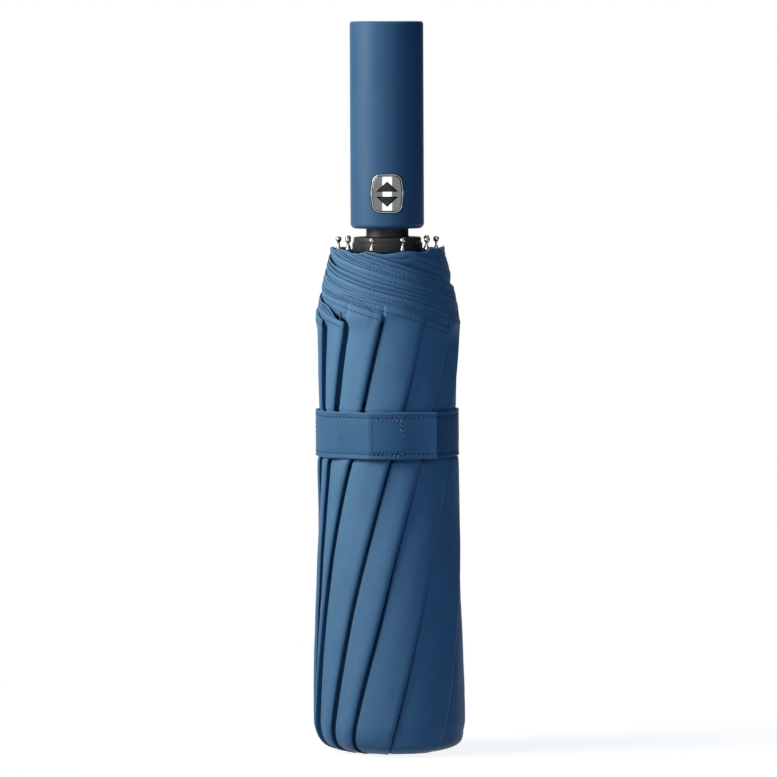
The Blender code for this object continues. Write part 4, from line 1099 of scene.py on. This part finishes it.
# Arrows: a dark field with a black line round it, printed just proud of the button
arrow = {"base": 1.0, "apex": 5.2, "half": 4.55, "line": 0.55, "drop": 0.2}


def triangleLoop(inset, sign, steps=12):
    rise, half = arrow["apex"] - arrow["base"], arrow["half"]
    slope = hypot(half, rise)
    across = inset * (slope + half) / rise
    corners = [(-half + across, arrow["base"] + inset), (half - across, arrow["base"] + inset),
               (0.0, arrow["apex"] - inset * slope / half)]
    loop = []
    for a, b in zip(corners, corners[1:] + corners[:1]):
        loop += [(a[0] + (b[0] - a[0]) * k / steps, a[1] + (b[1] - a[1]) * k / steps)
                 for k in range(steps)]
    return [(x, z * sign - arrow["drop"]) for x, z in loop]


line = arrow["line"]
arrowPieces = []
for sign in (1, -1):
    for part, material, rings in (
            ("arrowLine", arrowLine, ((0.0, -0.08), (0.0, 0.03), (0.05, 0.05), (line - 0.05, 0.05),
                                      (line, 0.03), (line, -0.08))),
            ("arrowField", arrowField, ((line + 0.01, -0.08), (line + 0.01, 0.02), (0.75, 0.025),
                                        (1.0, 0.025), (1.2, 0.025)))):
        loops = [[onDrum(x, z, button["face"] + level) for x, z in triangleLoop(inset, sign)]
                 for inset, level in rings]
        isLine = material is arrowLine
        filled = () if isLine else (0, -1)
        arrowPieces.append(loopPiece(f"{part}{sign}", loops, material, isLine, filled))
arrows = joinPieces("button_arrows", arrowPieces)

runnerProfile = [
    (10.2, 192.4), (10.2, 204.9), (10.9, 205.6), *arcPoints(13.9, 206.1, 0.5, -90, 0, 4),
    (14.4, 209.5), (14.15, 209.75), (13.9, 209.85), (13.9, 210.1),
    *arcPoints(13.2, 211.2, 0.7, 0, 90, 5), (9.3, 211.9), (8.9, 212.1), (8.7, 212.5), (8.7, 216.4),
    (8.1, 216.8), (8.1, 218.1), (8.7, 218.5), (8.7, 220.0), (8.2, 220.5), (7.1, 220.5), (6.8, 220.2),
    (6.8, 192.7), (7.1, 192.4)]
capProfile = [
    (0.0, 0.35), (3.0, 0.35), (3.6, 0.0), (10.0, 0.0), *arcPoints(10.0, 0.6, 0.6, -90, 0, 4),
    (10.6, 1.2), (10.2, 1.8), (2.9, 1.8), (2.9, 8.9), (2.6, 9.2), (0.0, 9.2)]


def tube(name, outer, inner, low, high):
    # a drawn tube whose ends are rolled in a little
    profile = [(outer - 0.12, low), (outer, low + 0.3), (outer, high - 0.3), (outer - 0.12, high),
               (inner + 0.05, high), (inner, high - 0.2), (inner, low + 0.2), (inner + 0.05, low)]
    return turnedPiece(name, profile, shaftSteel, 64)


assign(handleBody, "handle", "handle_soft_touch", "handle_shell")
assign(bezelRim, "handle", "button_chrome", "button_bezel")
assign(buttonFace, "button", "button_chrome", "push_button")
assign(arrows, "button", "button_chrome")
assign(turnedPiece("runner_body", runnerProfile, blackNylon), "furled_bundle", "black_nylon", "runner")
assign(turnedPiece("crown_disc", capProfile, blackNylon), "furled_bundle", "black_nylon", "crown_cap")
assign(tube("outer_shaft", 6.5, 6.05, 15.9, 284.5), "handle", "shaft_steel", "outer_tube")
assign(tube("middle_shaft", 5.75, 5.3, 15.9, 276.5), "shaft_middle", "shaft_steel", "middle_tube")
assign(tube("inner_shaft", 5.0, 4.55, 6.9, 268.5), "furled_bundle", "shaft_steel", "inner_tube")
print("handle, button, runner, crown cap and shaft made")


# Rib tips: one chromed tip, set round the shaft by geometry nodes
def ringTree():
    tree, sockets = newTree("copies round the shaft", "One tip", (
        ("Count", "Int", 10), ("First angle", "Float", 0.0), ("Tilt spread", "Float", 0.0),
        ("Seed", "Int", 1), ("Plating", "Material", None)), "Tips")
    add = partial(addNode, tree)
    given = add("NodeGroupInput").outputs
    spots = add("GeometryNodePoints", {"Count": given["Count"]})
    part = add("ShaderNodeMath", {0: tau, 1: given["Count"]}, operation="DIVIDE")
    turn = add("ShaderNodeMath", {0: add("GeometryNodeInputIndex"), 1: part, 2: given["First angle"]},
               operation="MULTIPLY_ADD")
    spread = add("ShaderNodeMath", {0: given["Tilt spread"], 1: -1.0}, operation="MULTIPLY")
    lean = add("FunctionNodeRandomValue", {2: spread, 3: given["Tilt spread"], "Seed": given["Seed"]},
               data_type="FLOAT")
    angles = add("ShaderNodeMath", {0: turn, 1: lean}, operation="ADD")
    spin = add("ShaderNodeCombineXYZ", {"Z": angles})
    rotation = add("FunctionNodeEulerToRotation", {"Euler": spin})
    laid = add("GeometryNodeInstanceOnPoints", {
        "Points": spots, "Instance": given["One tip"], "Rotation": rotation})
    real = add("GeometryNodeRealizeInstances", {"Geometry": laid})
    plated = add("GeometryNodeSetMaterial", {"Geometry": real, "Material": given["Plating"]})
    add("NodeGroupOutput", {"Tips": plated})
    return tree, sockets


tip = {"circle": 19.9 * mm, "low": 198.0, "ball": 211.0, "ballRadius": 1.25, "lean": 0.6,
       "firstAngle": -72.0, "tilt": 0.012, "seed": 6, "cut": 198.4 * mm}


def makeTips():
    low, ball, ballRadius = tip["low"], tip["ball"], tip["ballRadius"]
    profile = [(0.0, low), (1.1, low), (1.1, 204.2), (0.95, 204.6), (0.6, 204.9), (0.55, 205.6),
               (0.7, 206.2), (1.05, 206.75), (1.12, 207.1), (1.0, 207.5), (0.72, 208.0), (0.52, 208.5),
               (0.47, 209.1), (0.52, 209.6)]
    profile += arcPoints(0.0, ball, ballRadius, -62, 81, 13) + [(0.0, ball + ballRadius)]
    one = turnedPiece("rib_tips", profile, tipChrome, 20)
    # out to the ribs' circle, leaning outwards a little from its foot
    one.data.transform(Matrix.Translation((tip["circle"], 0, low * mm))
                       @ Matrix.Rotation(radians(tip["lean"]), 4, "Y")
                       @ Matrix.Translation((0, 0, -low * mm)))
    return sharpen(runTree(one, ringTree(), {
        "Count": bundle["ribCount"], "First angle": radians(tip["firstAngle"]),
        "Tilt spread": tip["tilt"], "Seed": tip["seed"], "Plating": tipChrome}))


def ribWires():
    # the ribs' lower lengths, as the frame has them, cut off below the turned tips
    pieces = []
    for name in tipRibs:
        bm = bmesh.new()
        bm.from_mesh(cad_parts[name].data)
        bmesh.ops.remove_doubles(bm, verts=bm.verts, dist=1e-6)
        everything = bm.verts[:] + bm.edges[:] + bm.faces[:]
        cut = bmesh.ops.bisect_plane(bm, geom=everything, plane_co=(0, 0, tip["cut"]),
                                     plane_no=(0, 0, 1), clear_outer=True)
        rim = [g for g in cut["geom_cut"] if isinstance(g, bmesh.types.BMEdge)]
        bmesh.ops.edgeloop_fill(bm, edges=rim)
        mesh = bpy.data.meshes.new("wire of " + name)
        bm.to_mesh(mesh)
        bm.free()
        mesh.materials.clear()
        mesh.materials.append(blackedRibs)
        pieces.append(putIn(mesh.name, mesh))
    return sharpen(joinPieces("rib_wires", pieces))


tipRibs = [f"tip_rib_{number:02d}" for number in range(1, bundle["ribCount"] + 1)]
assign(makeTips(), "furled_bundle", "tip_chrome", *tipRibs)
assign(ribWires(), "furled_bundle", "rib_steel", *tipRibs)
print("ribs made")

# Finishes of the frame's own pieces
finishes = {
    "stretcher": blackedRibs, "top_rib": blackedRibs, "middle_rib": blackedRibs, "crown": blackNylon,
    "crown_wire": springSteel, "runner_wire": springSteel, "main_spring": springSteel,
    "latch_spring": springSteel, "latch_slider": shaftSteel, "handle_core": blackNylon,
}
for name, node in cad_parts.items():
    family = name.rstrip("0123456789").rstrip("_")
    if family in finishes:
        node.data.materials.clear()
        node.data.materials.append(finishes[family])

# Studio: a floor that fades into the white background, two soft lamps and three black flags
studio = {"floorColour": "8496AA", "nearWhite": 0.07, "farWhite": 0.34, "floorLevel": -0.0002,
          "rings": [0.03, 0.08, 0.2, 0.5, 0.9, 1.4], "sides": 64, "veil": 0.89, "dimColour": "999999",
          "fillColour": "3FB8FF", "fillStrength": 0.27, "lampAim": 0.15}
white = hexColour("FFFFFF")


def seenDirectly(add):
    # 1 for what the camera sees, also by way of metal or gloss, and 0 for light on things
    ray = add("ShaderNodeLightPath").outputs
    first = add("ShaderNodeMath", {0: ray["Is Camera Ray"], 1: ray["Is Glossy Ray"]},
                operation="MAXIMUM")
    return add("ShaderNodeMath", {0: first, 1: ray["Is Transmission Ray"]}, operation="MAXIMUM")


def makeFloor():
    sides, level = studio["sides"], studio["floorLevel"]
    points = [around(360.0 * k / sides, radius, level) for radius in studio["rings"]
              for k in range(sides)]
    faces = ringFaces(len(studio["rings"]), sides)
    points.append((0.0, 0.0, level))
    faces += [((k + 1) % sides, k, len(points) - 1) for k in range(sides)]
    material, add, shader = newMaterial("matt white floor paper", {
        "Base Color": hexColour(studio["floorColour"]), "Roughness": 0.9, "Specular IOR Level": 0.1})
    place = add("ShaderNodeTexCoord").outputs["Object"]
    far = add("ShaderNodeVectorMath", {0: place}, operation="LENGTH").outputs["Value"]
    fade = add("ShaderNodeMapRange", {
        "Value": far, "From Min": studio["nearWhite"], "From Max": studio["farWhite"]},
        interpolation_type="SMOOTHSTEP")
    # near the object a veil just under white, so that its shadow on the paper still shows
    plain = add("ShaderNodeEmission", {"Color": white, "Strength": 1.0})
    veil = add("ShaderNodeEmission", {"Color": white, "Strength": studio["veil"]})
    dim = add("ShaderNodeBsdfDiffuse", {"Color": hexColour(studio["dimColour"])})
    near = add("ShaderNodeAddShader", {0: veil, 1: dim})
    seen = add("ShaderNodeMixShader", {0: fade, 1: near, 2: plain})
    mixed = add("ShaderNodeMixShader", {0: seenDirectly(add), 1: shader, 2: seen})
    feed(material.node_tree.nodes["Material Output"], {"Surface": mixed})
    floor = outwards(makeObject("floor", points, faces, material))
    if floor.data.polygons[0].normal.z < 0:
        floor.data.flip_normals()


def softLamp(name, azimuth, distance, height, size, level, colour):
    # level is the light's brightness seen from the object, where 1 is white
    data = bpy.data.lights.new(name, "AREA")
    data.shape = "RECTANGLE"
    data.size, data.size_y = size
    data.energy = level * pi * size[0] * size[1]
    data.color = hexColour(colour)[:3]
    lamp = putIn(name, data)
    lamp.location = around(azimuth, distance, height)
    aim = Vector((0.0, 0.0, studio["lampAim"])) - lamp.location
    lamp.rotation_euler = aim.to_track_quat("-Z", "Y").to_euler()


def blackFlag(name, azimuth, distance, size, mirrored=True):
    # a black card, which keeps the white surroundings out of the reflections on one side
    middle = Vector(around(azimuth, distance, 0.0))
    side = Vector((cos(radians(azimuth)), sin(radians(azimuth)), 0.0)) * size[0] / 2
    up = Vector((0.0, 0.0, size[1]))
    points = [middle - side, middle + side, middle + side + up, middle - side + up]
    flag = makeObject(name, points, [(0, 1, 2, 3)], flagCloth)
    flag.visible_camera = False         # it never stands in a camera's way
    flag.visible_glossy = mirrored


makeFloor()
blackFlag("flag right", 105.0, 1.5, (3.6, 2.6))
blackFlag("flag behind left", -128.0, 1.6, (0.9, 1.8))
blackFlag("flag low left", -71.0, 0.5, (1.0, 0.22), False)
softLamp("key softbox", -71.0, 2.2, 1.1, (1.3, 1.7), 11.0, "FFF7E6")
softLamp("front strip", 0.0, 3.6, 0.14, (1.8, 0.27), 4.6, "FFFFFF")
world = bpy.data.worlds.new("white studio")
world.use_nodes = True
bpy.context.scene.world = world
world.node_tree.nodes.clear()
add = partial(addNode, world.node_tree)
# The cool fill that falls on the object, and the white that is seen behind it
fill = add("ShaderNodeBackground", {"Color": hexColour(studio["fillColour"]),
                                        "Strength": studio["fillStrength"]})
behind = add("ShaderNodeBackground", {"Color": white, "Strength": 1.0})
shown = add("ShaderNodeMixShader", {0: seenDirectly(add), 1: fill, 2: behind})
add("ShaderNodeOutputWorld", {"Surface": shown})
bpy.context.scene.view_settings.view_transform = "Standard"
print("studio made")
